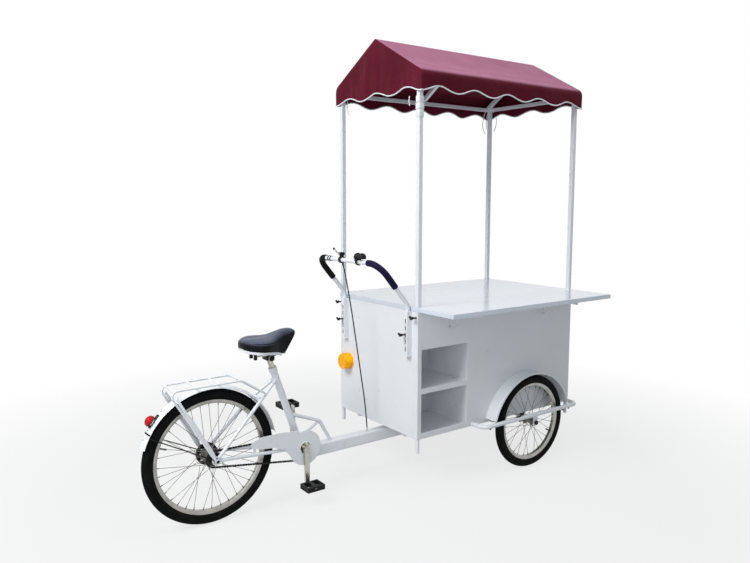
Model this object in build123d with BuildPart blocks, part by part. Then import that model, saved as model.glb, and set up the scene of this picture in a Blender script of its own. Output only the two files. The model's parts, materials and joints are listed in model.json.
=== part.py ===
from build123d import *
from math import asin, atan2, cos, degrees, hypot, pi, radians, sin, tan
import os

"""Pedal vending tricycle: a box counter with a gable canopy on two front wheels, and a
swinging bicycle rear end that carries the rider.

Millimetres. +X is forward, +Y is the rider's left and +Z is up. The origin is on the ground
under the middle of the overall length and width.
"""

# Places of the main masses
mid_y = 75.0  # the centre plane of the bike, moved left because the flap stands out on the right
box_back = 42.0
box_length = 1120.0
box_width = 669.0
box_base = 283.0
counter_height = 930.0
rear_axle_back = 910.0  # behind the box
front_axle_behind = 373.0  # the front of the box
pivot_ahead = 560.0
bracket_back = 457.0  # crank axle, behind the box
bracket_height = 262.0

# Box
panel_thickness = 12.0
corner_tube = 25.0
corner_wall = 1.2
foot_radius = 10.0
foot_drop = 69.0
counter_thickness = 22.0
counter_side_overhang = 7.0
counter_front_overhang = 15.0
seam = 0.3

# Shelf compartments on the right and the door on the left
niche_end = 323.0
niche_floor = 311.0
niche_top = 723.0
shelf_bottom = 506.0
shelf_top = 531.0
niche_depth = 300.0
niche_wall = 3.0
door_start = 44.0
door_end = 424.0
door_low = 330.0
door_high = 878.0
door_lap = 12.0
door_thickness = 16.0
door_gap = 1.0
hinge_radius = 5.0
hinge_length = 60.0
hinge_inset = 90.0
pull_length = 110.0
pull_radius = 5.0
pull_standoff = 28.0

# Flap and its folding brackets
flap_reach = 240.0
flap_drop = 20.0  # hinge line under the flap
flap_gap = 0.6
bracket_places = (190.0, 876.0)  # along the box
bracket_leg = 100.0
bracket_width = 22.0
bracket_sheet = 3.0
bracket_boss = 5.0
bracket_pin = 2.5
bracket_play = 0.3
arm_length = 226.0
arm_height = 14.0
strut_drop = 72.0
strut_reach = 110.0
strut_rise = 82.0
strut_width = 8.0
strut_side_gap = 2.0
ear_side_gap = 1.0
bracket_offset = 14.0  # strut pivot away from the wall

# Canopy
post_size = 22.0
post_clearance = 0.3
post_foot = 700.0
eave_height = 2018.0
ridge_rise = 196.0
eave_over_end = 9.0
eave_over_side = 22.0
valance_height = 100.0
cloth_thickness = 5.0
rail_size = 20.0
rail_drop = 43.0  # from the eave to the rails' underside
eave_round = 46.0
scallop_depth = 26.0
scallop_side_count = 5
scallop_end_count = 3

# Handlebar
bar_radius = 11.1
bar_half = 272.0
bar_standoff = 13.0
bar_foot = 690.0
bar_bend_height = 938.0
bar_lean_angle = 50.0  # above the horizontal, leaning back towards the rider
bar_top = 1140.0
bar_low_bend = 70.0
bar_top_bend = 75.0
grip_radius = 16.0
grip_clearance = 0.3
socket_width = 32.0
socket_wall = 2.4
slot_width = 7.0
slot_length = 22.0
slot_pitch = 34.0
slot_count = 5

# Wheels
front_wheel_radius = 250.0
front_track_half = 378.0
front_tyre_width = 44.0
front_spoke_count = 28
front_cross_count = 2
front_flange_radius = 24.0
front_flange_place = 27.0  # from the wheel's middle
front_barrel_radius = 14.0
rear_wheel_radius = 305.0
rear_tyre_width = 48.0
rear_spoke_count = 36
rear_cross_count = 3
rear_flange_radius = 34.0
rear_flange_place = 31.0
rear_barrel_radius = 20.0
axle_radius = 6.0
axle_clearance = 0.15

# Guard rails and fenders beside the front wheels
guard_radius = 11.0
guard_out = 420.0
guard_height = 294.0
guard_behind = 381.0  # the front axle
guard_ahead = 345.0
guard_bend = 38.0
fender_sheet = 2.0
front_fender_width = 74.0
front_fender_top = 517.0
front_fender_radius = 300.0
front_fender_lip = 8.0

# Rear frame
beam_height = 60.0
beam_width = 50.0
beam_top = 250.0
beam_corner = 8.0
seat_tube_radius = 17.0
seat_post_radius = 13.6
seat_top_back = 598.0
seat_top_height = 665.0
stay_radius = 8.0
dropout_half = 68.0
head_radius = 27.0
kingpin_radius = 12.0
kingpin_clearance = 0.1

# Drive
crank_length = 170.0
crank_inner = 62.0
crank_thickness = 12.0
chain_line = 45.0
chain_pitch = 12.7
chainring_tooth_count = 31
cog_tooth_count = 18
chain_height = 9.0
chain_width = 8.0
chain_run_gap = 0.5
chain_guard_face = 56.0

# Derived places
box_front = box_back + box_length
ridge_height = eave_height + ridge_rise
rail_height = eave_height - rail_drop
box_half = box_width / 2
counter_base = counter_height - counter_thickness
rear_axle_x = box_back - rear_axle_back
front_axle_x = box_front - front_axle_behind
pivot_x = box_back + pivot_ahead
crank_x = box_back - bracket_back
beam_middle = beam_top - beam_height / 2
axle_z_rear = rear_wheel_radius
chainring_radius = chain_pitch / 2 / sin(pi / chainring_tooth_count)
cog_radius = chain_pitch / 2 / sin(pi / cog_tooth_count)


def at(x, y, z):
    """A point given from the bike's centre plane."""
    return (x, mid_y + y, z)


def level(z):
    """Horizontal plane at a height, centred on the bike's width."""
    return Plane(origin=at(0, 0, z))


def upright(y):
    """Lengthwise vertical plane, y to the left of the centre plane; it faces right."""
    return Plane(origin=at(0, y, 0), x_dir=(1, 0, 0), z_dir=(0, -1, 0))


def across(x):
    """Crosswise vertical plane at a place along the bike; it faces forward."""
    return Plane(origin=at(x, 0, 0), x_dir=(0, 1, 0), z_dir=(1, 0, 0))


def slab(low, high, mode=Mode.ADD):
    """Add or cut a rectangular bar between two corners."""
    with BuildSketch(level(low[2])) as section:
        with Locations(((low[0] + high[0]) / 2, (low[1] + high[1]) / 2)):
            Rectangle(high[0] - low[0], high[1] - low[1])
    extrude(section.sketch, amount=high[2] - low[2], mode=mode)


def rod(start, end, radius, mode=Mode.ADD):
    """Add or cut a straight round bar between two points."""
    a = Vector(*at(*start))
    b = Vector(*at(*end))
    with BuildSketch(Plane(origin=a, z_dir=b - a)) as section:
        Circle(radius)
    extrude(section.sketch, amount=(b - a).length, mode=mode)


def bent_tube(points, radius, bends):
    """Add a round tube along straight runs joined by arcs."""
    with BuildLine() as path:
        FilletPolyline(*[at(*p) for p in points], radius=bends)
    with BuildSketch(Plane(origin=path.line @ 0, z_dir=path.line % 0)) as section:
        Circle(radius)
    sweep(section.sketch, path=path.line)


def hex_bar(start, end, across_corners):
    """Add a hexagonal bar, such as a nut, between two points."""
    a = Vector(*at(*start))
    b = Vector(*at(*end))
    with BuildSketch(Plane(origin=a, z_dir=b - a)) as section:
        RegularPolygon(across_corners / 2, 6)
    extrude(section.sketch, amount=(b - a).length)


def limb(plane, start, end, start_radius, end_radius, thickness):
    """Add a flat limb that tapers between two round ends, its ends given in the plane."""
    with BuildSketch(plane) as section:
        with Locations(start):
            Circle(start_radius)
        with Locations(end):
            Circle(end_radius)
        make_hull()
    extrude(section.sketch, amount=thickness)


def finish(builder, label):
    """Label a finished piece and write it."""
    builder.part.label = label
    export_step(builder.part, f"parts/{label}.step")


os.makedirs("parts", exist_ok=True)

# Box: floor, four panels between the corner tubes, and the counter
with BuildPart() as floor_panel:
    slab(
        (box_back, -box_half, box_base),
        (box_front, box_half, box_base + panel_thickness),
    )
floor_panel.part.label = "floor_panel"
export_step(floor_panel.part, "parts/floor_panel.step")

wall_low = box_base + panel_thickness + seam
wall_high = counter_base - seam
corner_inner = corner_tube + seam

with BuildPart() as corner_tubes:
    for x in (box_back, box_front - corner_tube):
        for y in (-box_half, box_half - corner_tube):
            slab((x, y, wall_low), (x + corner_tube, y + corner_tube, wall_high))
            slab(
                (x + corner_wall, y + corner_wall, wall_low),
                (x + corner_tube - corner_wall, y + corner_tube - corner_wall, wall_high),
                mode=Mode.SUBTRACT,
            )
corner_tubes.part.label = "corner_tubes"
export_step(corner_tubes.part, "parts/corner_tubes.step")

with BuildPart() as leg_feet:
    for x in (box_back + foot_radius, box_front - foot_radius):
        for y in (-box_half + foot_radius, box_half - foot_radius):
            rod((x, y, box_base - foot_drop), (x, y, box_base - seam), foot_radius)
leg_feet.part.label = "leg_feet"
export_step(leg_feet.part, "parts/leg_feet.step")

for label, x in (
    ("panel_rear", box_back),
    ("panel_front", box_front - panel_thickness),
):
    with BuildPart() as end_panel:
        slab(
            (x, -box_half + corner_inner, wall_low),
            (x + panel_thickness, box_half - corner_inner, wall_high),
        )
    finish(end_panel, label)

with BuildPart() as panel_right:
    slab(
        (box_back + corner_inner, -box_half, wall_low),
        (box_front - corner_inner, -box_half + panel_thickness, wall_high),
    )
    for low, high in ((niche_floor, shelf_bottom), (shelf_top, niche_top)):
        slab(
            (box_back + corner_tube, -box_half - seam, low),
            (box_back + niche_end, -box_half + panel_thickness + seam, high),
            mode=Mode.SUBTRACT,
        )
panel_right.part.label = "panel_right"
export_step(panel_right.part, "parts/panel_right.step")

with BuildPart() as panel_left:
    slab(
        (box_back + corner_inner, box_half - panel_thickness, wall_low),
        (box_front - corner_inner, box_half, wall_high),
    )
    slab(
        (box_back + door_start, box_half - panel_thickness - seam, door_low),
        (box_back + door_end, box_half + seam, door_high),
        mode=Mode.SUBTRACT,
    )
panel_left.part.label = "panel_left"
export_step(panel_left.part, "parts/panel_left.step")

niche_back_y = -box_half + panel_thickness + seam + niche_depth
with BuildPart() as shelf_unit:
    niche_x0 = box_back + corner_inner
    niche_x1 = box_back + niche_end + niche_wall
    niche_y0 = -box_half + panel_thickness + seam
    slab((niche_x0, niche_y0, wall_low), (niche_x1, niche_back_y, niche_top + niche_wall))
    slab(
        (niche_x0 + niche_wall, niche_y0 - seam, wall_low - seam),
        (niche_x1 - niche_wall, niche_back_y - niche_wall, niche_top),
        mode=Mode.SUBTRACT,
    )
    slab(
        (niche_x0 + niche_wall, niche_y0, shelf_bottom),
        (niche_x1 - niche_wall, niche_back_y - niche_wall, shelf_top),
    )
shelf_unit.part.label = "shelf_unit"
export_step(shelf_unit.part, "parts/shelf_unit.step")

post_inset = corner_tube / 2
post_rows = [
    (x, y)
    for x in (box_back + post_inset, box_front - post_inset)
    for y in (-box_half + post_inset, box_half - post_inset)
]

with BuildPart() as counter_top:
    slab(
        (box_back, -box_half - counter_side_overhang, counter_base),
        (box_front + counter_front_overhang, box_half + counter_side_overhang, counter_height),
    )
    for x, y in post_rows:
        reach = post_size / 2 + post_clearance
        slab(
            (x - reach, y - reach, counter_base - seam),
            (x + reach, y + reach, counter_height + seam),
            mode=Mode.SUBTRACT,
        )
counter_top.part.label = "counter_top"
export_step(counter_top.part, "parts/counter_top.step")

# Flap hinged along the counter's right edge, shown open and level with it
flap_inner_y = -box_half - counter_side_overhang - flap_gap
flap_hinge_y = flap_inner_y + flap_gap / 2
flap_hinge_z = counter_base - flap_drop
with BuildPart() as flap:
    slab(
        (box_back, flap_inner_y - flap_reach, counter_base),
        (box_front + counter_front_overhang, flap_inner_y, counter_height),
    )
flap.part.label = "flap"
export_step(flap.part, "parts/flap.step")

# Folding brackets: a leg on the wall, an arm under the flap and a strut between them
wall_y = -box_half
strut_pivot_y = wall_y - bracket_offset
strut_pivot_z = flap_hinge_z - strut_drop
strut_x = bracket_sheet + strut_side_gap
ear_x = strut_x + bracket_sheet + ear_side_gap
leg_low = counter_base - bracket_leg
with BuildPart() as bracket_legs:
    for place in bracket_places:
        x = box_back + place
        slab(
            (x + ear_x, wall_y - seam - bracket_sheet, leg_low),
            (x + ear_x + bracket_width, wall_y - seam, counter_base - seam),
        )
        for pivot_y, pivot_z, pin_start in (
            (flap_hinge_y, flap_hinge_z, 0),
            (strut_pivot_y, strut_pivot_z, strut_x),
        ):
            slab(
                (x + ear_x, pivot_y, pivot_z - bracket_boss),
                (x + ear_x + bracket_sheet, wall_y - seam, pivot_z + bracket_boss),
            )
            rod(
                (x + ear_x, pivot_y, pivot_z),
                (x + ear_x + bracket_sheet, pivot_y, pivot_z),
                bracket_boss,
            )
            rod(
                (x + pin_start, pivot_y, pivot_z),
                (x + ear_x, pivot_y, pivot_z),
                bracket_pin,
            )
bracket_legs.part.label = "bracket_legs"
export_step(bracket_legs.part, "parts/bracket_legs.step")

arm_top = counter_base - seam
with BuildPart() as bracket_arms:
    for place in bracket_places:
        x = box_back + place
        slab(
            (x, flap_inner_y - arm_length, arm_top - arm_height),
            (x + bracket_sheet, flap_inner_y, arm_top),
        )
        slab(
            (x, flap_inner_y - arm_length, arm_top - bracket_sheet),
            (x + bracket_width, flap_inner_y - bracket_offset, arm_top),
        )
        slab(
            (x, flap_hinge_y - bracket_boss, flap_hinge_z),
            (x + bracket_sheet, flap_inner_y, arm_top - arm_height / 2),
        )
        rod(
            (x, flap_hinge_y, flap_hinge_z),
            (x + bracket_sheet, flap_hinge_y, flap_hinge_z),
            bracket_boss,
        )
        rod(
            (x - seam, flap_hinge_y, flap_hinge_z),
            (x + bracket_sheet + seam, flap_hinge_y, flap_hinge_z),
            bracket_pin + bracket_play,
            mode=Mode.SUBTRACT,
        )
bracket_arms.part.label = "bracket_arms"
export_step(bracket_arms.part, "parts/bracket_arms.step")

strut_length = hypot(strut_reach, strut_rise)
strut_angle = degrees(atan2(strut_rise, strut_reach))
with BuildPart() as bracket_struts:
    for place in bracket_places:
        x = box_back + place + strut_x
        with BuildSketch(across(x)):
            with Locations((strut_pivot_y - strut_reach / 2, strut_pivot_z + strut_rise / 2)):
                SlotCenterToCenter(strut_length, strut_width, rotation=-strut_angle)
            with Locations((strut_pivot_y, strut_pivot_z)):
                Circle(bracket_pin + bracket_play, mode=Mode.SUBTRACT)
        extrude(amount=bracket_sheet)
bracket_struts.part.label = "bracket_struts"
export_step(bracket_struts.part, "parts/bracket_struts.step")

# Left door, lapping over its opening, on two butt hinges at its rear edge
door_x0 = box_back + door_start - door_lap
door_x1 = box_back + door_end + door_lap
door_y0 = box_half + door_gap
hinge_x = door_x0 - hinge_radius
hinge_y = door_y0 + door_thickness
hinge_heights = (door_low + hinge_inset, door_high - hinge_inset)
knuckle = hinge_length / 3
with BuildPart() as door_left:
    slab(
        (door_x0, door_y0, door_low - door_lap),
        (door_x1, door_y0 + door_thickness, door_high + door_lap),
    )
    pull_x = door_x1 - pull_standoff
    pull_z = (door_low + door_high) / 2
    bent_tube(
        [
            (pull_x, door_y0 + door_thickness - seam, pull_z - pull_length / 2),
            (pull_x, door_y0 + door_thickness + pull_standoff, pull_z - pull_length / 2),
            (pull_x, door_y0 + door_thickness + pull_standoff, pull_z + pull_length / 2),
            (pull_x, door_y0 + door_thickness - seam, pull_z + pull_length / 2),
        ],
        pull_radius,
        pull_standoff / 2,
    )
    for z in hinge_heights:
        rod((hinge_x, hinge_y, z - knuckle / 2), (hinge_x, hinge_y, z + knuckle / 2), hinge_radius)
        slab(
            (hinge_x, hinge_y, z - knuckle / 2),
            (door_x0 + hinge_inset / 3, hinge_y + bracket_sheet, z + knuckle / 2),
        )
door_left.part.label = "door_left"
export_step(door_left.part, "parts/door_left.step")

with BuildPart() as door_hinges:
    for z in hinge_heights:
        for side in (-1, 1):
            low = z + side * knuckle - knuckle / 2 + seam
            high = z + side * knuckle + knuckle / 2 - seam
            rod((hinge_x, hinge_y, low), (hinge_x, hinge_y, high), hinge_radius)
            slab(
                (hinge_x - hinge_radius, box_half + seam, low),
                (hinge_x - hinge_radius + bracket_sheet, hinge_y, high),
            )
door_hinges.part.label = "door_hinges"
export_step(door_hinges.part, "parts/door_hinges.step")

# Chassis under the floor, with the cross bearers that carry the pivot and the front axles
bearer = 22.0
bearer_top = box_base - seam
bearer_low = bearer_top - bearer
rail_y = 200.0
pivot_plate = 8.0
with BuildPart() as chassis:
    for y in (-rail_y, rail_y):
        slab(
            (box_back + corner_tube, y - bearer / 2, bearer_low),
            (box_front - corner_tube, y + bearer / 2, bearer_top),
        )
    for x in (pivot_x, front_axle_x):
        slab(
            (x - bearer, -box_half + bearer, bearer_low),
            (x + bearer, box_half - bearer, bearer_top),
        )
    slab(
        (pivot_x - head_radius * 2, -head_radius * 2, bearer_low),
        (pivot_x + head_radius * 2, head_radius * 2, bearer_low + pivot_plate),
    )
chassis.part.label = "chassis"
export_step(chassis.part, "parts/chassis.step")

head_low = beam_top - beam_height
nut_height = 14.0
pin_gap = 1.0
with BuildPart() as kingpin:
    rod((pivot_x, 0, head_low - pin_gap - nut_height), (pivot_x, 0, bearer_low - seam), kingpin_radius)
    rod(
        (pivot_x, 0, head_low - pin_gap - nut_height),
        (pivot_x, 0, head_low - pin_gap),
        head_radius * 3 / 4,
    )
    rod((pivot_x, 0, beam_top + pin_gap), (pivot_x, 0, bearer_low - seam), head_radius)
kingpin.part.label = "kingpin"
export_step(kingpin.part, "parts/kingpin.step")

# Canopy: four posts, a rail frame with a ridge, and the cloth cover
post_top = rail_height + rail_size
with BuildPart() as canopy_posts:
    for x, y in post_rows:
        half = post_size / 2
        slab((x - half, y - half, post_foot), (x + half, y + half, post_top))
canopy_posts.part.label = "canopy_posts"
export_step(canopy_posts.part, "parts/canopy_posts.step")

eave_half = box_half + eave_over_side
slope = atan2(ridge_height - eave_height, eave_half)
cover_rear = box_back - eave_over_end
cover_front = box_front + eave_over_end
inner_half = eave_half - cloth_thickness
inner_drop = cloth_thickness / cos(slope)
inner_eave = eave_height + (cloth_thickness * sin(slope) - cloth_thickness) / cos(slope)
hem_low = eave_height - valance_height


def roof_section(half, eave, ridge, low, round_radius):
    """Gable outline with rounded eaves."""
    Polygon((-half, low), (half, low), (half, eave), (0, ridge), (-half, eave), align=None)
    corners = vertices().filter_by_position(Axis.Y, eave - seam, eave + seam)
    fillet(corners, radius=round_radius)


def scallops(start, end, count):
    """The space under a scalloped hem, along the sketch's first axis."""
    pitch = (end - start) / count
    middle = hem_low + scallop_depth / 2
    with BuildLine() as hem:
        for index in range(count):
            x = start + index * pitch
            ThreePointArc(
                (x, middle),
                (x + pitch / 4, hem_low + scallop_depth),
                (x + pitch / 2, middle),
            )
            ThreePointArc(
                (x + pitch / 2, middle),
                (x + pitch * 3 / 4, hem_low),
                (x + pitch, middle),
            )
        Polyline(
            (end, middle),
            (end, hem_low - cloth_thickness),
            (start, hem_low - cloth_thickness),
            (start, middle),
        )
    make_face(hem.edges())


with BuildPart() as canopy_cover:
    with BuildSketch(across(cover_rear)):
        roof_section(eave_half, eave_height, ridge_height, hem_low, eave_round)
    extrude(amount=cover_front - cover_rear)
    with BuildSketch(across(cover_rear + cloth_thickness)):
        roof_section(
            inner_half,
            inner_eave,
            ridge_height - inner_drop,
            hem_low - seam,
            eave_round - cloth_thickness,
        )
    extrude(amount=cover_front - cover_rear - 2 * cloth_thickness, mode=Mode.SUBTRACT)
    with BuildSketch(upright(eave_half)):
        scallops(cover_rear, cover_front, scallop_side_count)
    extrude(amount=2 * eave_half, mode=Mode.SUBTRACT)
    with BuildSketch(across(cover_rear)):
        scallops(-eave_half, eave_half, scallop_end_count)
    extrude(amount=cover_front - cover_rear, mode=Mode.SUBTRACT)
canopy_cover.part.label = "canopy_cover"
export_step(canopy_cover.part, "parts/canopy_cover.step")

rail_half = rail_size / 2
frame_y = box_half - post_inset
frame_x0 = box_back + post_inset
frame_x1 = box_front - post_inset
rail_gap = post_size / 2 + seam
with BuildPart() as canopy_frame:
    for y in (-frame_y, frame_y):
        slab(
            (frame_x0 + rail_gap, y - rail_half, rail_height),
            (frame_x1 - rail_gap, y + rail_half, post_top),
        )
    for x in (frame_x0, frame_x1):
        slab(
            (x - rail_half, -frame_y + rail_gap, rail_height),
            (x + rail_half, frame_y - rail_gap, post_top),
        )
canopy_frame.part.label = "canopy_frame"
export_step(canopy_frame.part, "parts/canopy_frame.step")

# Three pairs of rafters stand on the side rails and meet the ridge bar's sides
truss_x0 = frame_x0 + rail_gap + rail_half
truss_x1 = frame_x1 - rail_gap - rail_half
ridge_top = ridge_height - inner_drop - seam / cos(slope) - rail_half * sin(slope) / cos(slope)
rafter_low = post_top + seam
rafter_outer = frame_y + rail_half
rafter_inner = rail_half + seam
rafter_slope = atan2(ridge_top - rafter_low, rafter_outer - rafter_inner)
with BuildPart() as canopy_rafters:
    slab(
        (truss_x0 - rail_half, -rail_half, ridge_top - rail_size),
        (truss_x1 + rail_half, rail_half, ridge_top),
    )
    for x in (truss_x0, (truss_x0 + truss_x1) / 2, truss_x1):
        with BuildSketch(across(x - rail_half)):
            Polygon(
                (rafter_outer, rafter_low),
                (rafter_inner, ridge_top),
                (rafter_inner, ridge_top - rail_size / cos(rafter_slope)),
                (rafter_outer - rail_size / sin(rafter_slope), rafter_low),
                align=None,
            )
            mirror(about=Plane.YZ)
        extrude(amount=rail_size)
canopy_rafters.part.label = "canopy_rafters"
export_step(canopy_rafters.part, "parts/canopy_rafters.step")

# Handlebar on the back of the box
bar_x = box_back - bar_standoff
bar_rise = bar_top - bar_bend_height
bar_back_x = bar_x - bar_rise * cos(radians(bar_lean_angle)) / sin(radians(bar_lean_angle))
bar_route = [
    (bar_x, -bar_half, bar_foot),
    (bar_x, -bar_half, bar_bend_height),
    (bar_back_x, -bar_half, bar_top),
    (bar_back_x, bar_half, bar_top),
    (bar_x, bar_half, bar_bend_height),
    (bar_x, bar_half, bar_foot),
]
with BuildPart() as handlebar:
    bent_tube(bar_route, bar_radius, [bar_low_bend, bar_top_bend, bar_top_bend, bar_low_bend])
handlebar.part.label = "handlebar"
export_step(handlebar.part, "parts/handlebar.step")

grip_span = 150.0  # along the leaning leg, from the corner
grip_across = 90.0  # along the top bar, from the corner
for label, side in (("grip_right", -1), ("grip_left", 1)):
    lean_x = cos(radians(bar_lean_angle))
    lean_z = sin(radians(bar_lean_angle))
    with BuildPart() as grip:
        with BuildLine() as grip_path:
            FilletPolyline(
                at(bar_back_x + grip_span * lean_x, side * bar_half, bar_top - grip_span * lean_z),
                at(bar_back_x, side * bar_half, bar_top),
                at(bar_back_x, side * (bar_half - grip_across), bar_top),
                radius=bar_top_bend,
            )
        with BuildSketch(Plane(origin=grip_path.line @ 0, z_dir=grip_path.line % 0)):
            Circle(grip_radius)
            Circle(bar_radius + grip_clearance, mode=Mode.SUBTRACT)
        sweep(path=grip_path.line)
    finish(grip, label)

socket_half = socket_width / 2
socket_top = counter_base - 2 * seam
slot_face = box_back - seam - bar_standoff - bar_radius - socket_wall
with BuildPart() as bar_sockets:
    for side in (-1, 1):
        y = side * bar_half
        slab(
            (slot_face, y - socket_half, bar_foot - socket_wall),
            (box_back - seam, y + socket_half, socket_top),
        )
        rod(
            (bar_x, y, bar_foot - post_clearance),
            (bar_x, y, socket_top + seam),
            bar_radius + post_clearance,
            mode=Mode.SUBTRACT,
        )
        for index in range(slot_count):
            z = bar_foot + slot_pitch * (index + 1)
            slab(
                (slot_face - seam, y - slot_width / 2, z - slot_length / 2),
                (slot_face + bar_radius, y + slot_width / 2, z + slot_length / 2),
                mode=Mode.SUBTRACT,
            )
bar_sockets.part.label = "bar_sockets"
export_step(bar_sockets.part, "parts/bar_sockets.step")

# Wing bolts that clamp the bar's legs and the canopy posts
stud_radius = 4.0
stud_length = 34.0
wing_reach = 12.0
wing_lift = 5.0
wing_radius_tip = 5.5
wing_sheet = 5.0
wing_hub_radius = 7.0
wing_hub_length = 10.0
bar_bolt_height = 795.0
post_bolt_height = 880.0
bolt_rows = [
    # face x, y, z
    (slot_face - seam, -bar_half, bar_bolt_height),
    (slot_face - seam, bar_half, bar_bolt_height),
    (box_back - seam, -box_half + post_inset, post_bolt_height),
    (box_back - seam, box_half - post_inset, post_bolt_height),
]
with BuildPart() as wing_bolts:
    for face_x, y, z in bolt_rows:
        tip_x = face_x - stud_length
        rod((face_x, y, z), (tip_x, y, z), stud_radius)
        rod((tip_x + wing_hub_length, y, z), (tip_x, y, z), wing_hub_radius)
        for side in (-1, 1):
            wing_plane = across(tip_x + (wing_hub_length - wing_sheet) / 2)
            wing_tip = (y + side * wing_reach, z + wing_lift)
            limb(wing_plane, (y, z), wing_tip, stud_radius, wing_radius_tip, wing_sheet)
wing_bolts.part.label = "wing_bolts"
export_step(wing_bolts.part, "parts/wing_bolts.step")

# Brake lever on the top bar: a clamp, a bracket that rises to the pivot and a curved blade
clamp_outer = 17.0
clamp_length = 16.0
lever_y = 34.0
lever_rise = 30.0
bracket_depth = 14.0
blade_radius = 4.0
blade_pivot_radius = 8.0
blade_ball = 6.5
blade_mid_y = 82.0
blade_mid_rise = 33.0
blade_tip_y = 111.0
blade_tip_rise = 50.0
blade_bend = 40.0
with BuildPart() as brake_lever:
    rod(
        (bar_back_x, lever_y, bar_top),
        (bar_back_x, lever_y + clamp_length, bar_top),
        clamp_outer,
    )
    slab(
        (bar_back_x - bracket_depth / 2, lever_y, bar_top),
        (bar_back_x + bracket_depth / 2, lever_y + clamp_length, bar_top + lever_rise),
    )
    pivot_y = lever_y + clamp_length / 2
    rod(
        (bar_back_x - bracket_depth, pivot_y, bar_top + lever_rise),
        (bar_back_x + bracket_depth, pivot_y, bar_top + lever_rise),
        blade_pivot_radius,
    )
    bent_tube(
        [
            (bar_back_x, pivot_y, bar_top + lever_rise),
            (bar_back_x, blade_mid_y, bar_top + blade_mid_rise),
            (bar_back_x, blade_tip_y, bar_top + blade_tip_rise),
        ],
        blade_radius,
        blade_bend,
    )
    with Locations(at(bar_back_x, blade_tip_y, bar_top + blade_tip_rise)):
        Sphere(blade_ball)
    rod(
        (bar_back_x, lever_y - clamp_length, bar_top),
        (bar_back_x, lever_y + 2 * clamp_length, bar_top),
        bar_radius + grip_clearance,
        mode=Mode.SUBTRACT,
    )
brake_lever.part.label = "brake_lever"
export_step(brake_lever.part, "parts/brake_lever.step")

# Bell with two domes side by side on a strap
bell_y = -100.0
strap_length = 10.0
bell_radius = 20.0
bell_spacing = 36.0
bell_base = 16.0
bell_skirt = 8.0
with BuildPart() as bell:
    rod(
        (bar_back_x, bell_y - strap_length, bar_top),
        (bar_back_x, bell_y, bar_top),
        clamp_outer,
    )
    for place in (bell_y, bell_y - bell_spacing):
        with BuildSketch(across(bar_back_x)):
            with BuildLine():
                Polyline(
                    (place, bar_top + bell_base + bell_skirt + bell_radius),
                    (place, bar_top + bell_base),
                    (place + bell_radius, bar_top + bell_base),
                    (place + bell_radius, bar_top + bell_base + bell_skirt),
                )
                CenterArc((place, bar_top + bell_base + bell_skirt), bell_radius, 0, 90)
            make_face()
        revolve(axis=Axis(at(bar_back_x, place, bar_top), (0, 0, 1)))
    slab(
        (bar_back_x - strap_length / 2, bell_y - strap_length, bar_top + bar_radius),
        (bar_back_x + strap_length / 2, bell_y, bar_top + bell_base + bell_skirt),
    )
    rod(
        (bar_back_x, bell_y - clamp_length, bar_top),
        (bar_back_x, bell_y + clamp_length, bar_top),
        bar_radius + grip_clearance,
        mode=Mode.SUBTRACT,
    )
bell.part.label = "bell"
export_step(bell.part, "parts/bell.step")

# Brake cable from under the lever down to the beam just behind the box
cable_radius = 2.5
cable_lift = 6.0
cable_arc_share = 0.45
cable_route = [
    (-137, 40, 1122.4),
    (-133, 28, 1076),
    (-126, 19, 1010),
    (-115, 13, 930),
    (-99, 7, 820),
    (-77, 1, 660),
    (-55, -7, 500),
    (-37, -12, 360),
    (-26, -8, beam_top + cable_lift),
]
cable_bends = []
for before, here, after in zip(cable_route, cable_route[1:], cable_route[2:]):
    arriving = Vector(*here) - Vector(*before)
    leaving = Vector(*after) - Vector(*here)
    turn = radians(arriving.get_angle(leaving))
    cable_bends.append(cable_arc_share * min(arriving.length, leaving.length) / tan(turn / 2))
print("cable bend radii", [round(bend) for bend in cable_bends])
with BuildPart() as brake_cable:
    bent_tube(cable_route, cable_radius, cable_bends)
brake_cable.part.label = "brake_cable"
export_step(brake_cable.part, "parts/brake_cable.step")

# Round power inlet: a wall flange, a ribbed housing and a hinged lid
inlet_y = 254.0
inlet_z = 563.0
inlet_radius = 36.0
inlet_depth = 46.0
inlet_flange = 44.0
inlet_flange_sheet = 6.0
inlet_lid = 12.0
inlet_lid_radius = 40.0
inlet_rib_count = 12
inlet_rib_radius = 3.0
inlet_hinge_radius = 5.0
inlet_hinge_half = 14.0
with BuildPart() as power_inlet:
    inlet_face = box_back - seam
    rod(
        (inlet_face, inlet_y, inlet_z),
        (inlet_face - inlet_flange_sheet, inlet_y, inlet_z),
        inlet_flange,
    )
    rod((inlet_face, inlet_y, inlet_z), (inlet_face - inlet_depth, inlet_y, inlet_z), inlet_radius)
    rod(
        (inlet_face - inlet_depth, inlet_y, inlet_z),
        (inlet_face - inlet_depth + inlet_lid, inlet_y, inlet_z),
        inlet_lid_radius,
    )
    for index in range(inlet_rib_count):
        turn = radians(360 / inlet_rib_count * index)
        rib_y = inlet_y + inlet_radius * cos(turn)
        rib_z = inlet_z + inlet_radius * sin(turn)
        rod((inlet_face, rib_y, rib_z), (inlet_face - inlet_depth, rib_y, rib_z), inlet_rib_radius)
    hinge_z = inlet_z + inlet_lid_radius
    rod(
        (inlet_face - inlet_depth + inlet_lid, inlet_y - inlet_hinge_half, hinge_z),
        (inlet_face - inlet_depth + inlet_lid, inlet_y + inlet_hinge_half, hinge_z),
        inlet_hinge_radius,
    )
power_inlet.part.label = "power_inlet"
export_step(power_inlet.part, "parts/power_inlet.step")

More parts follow.
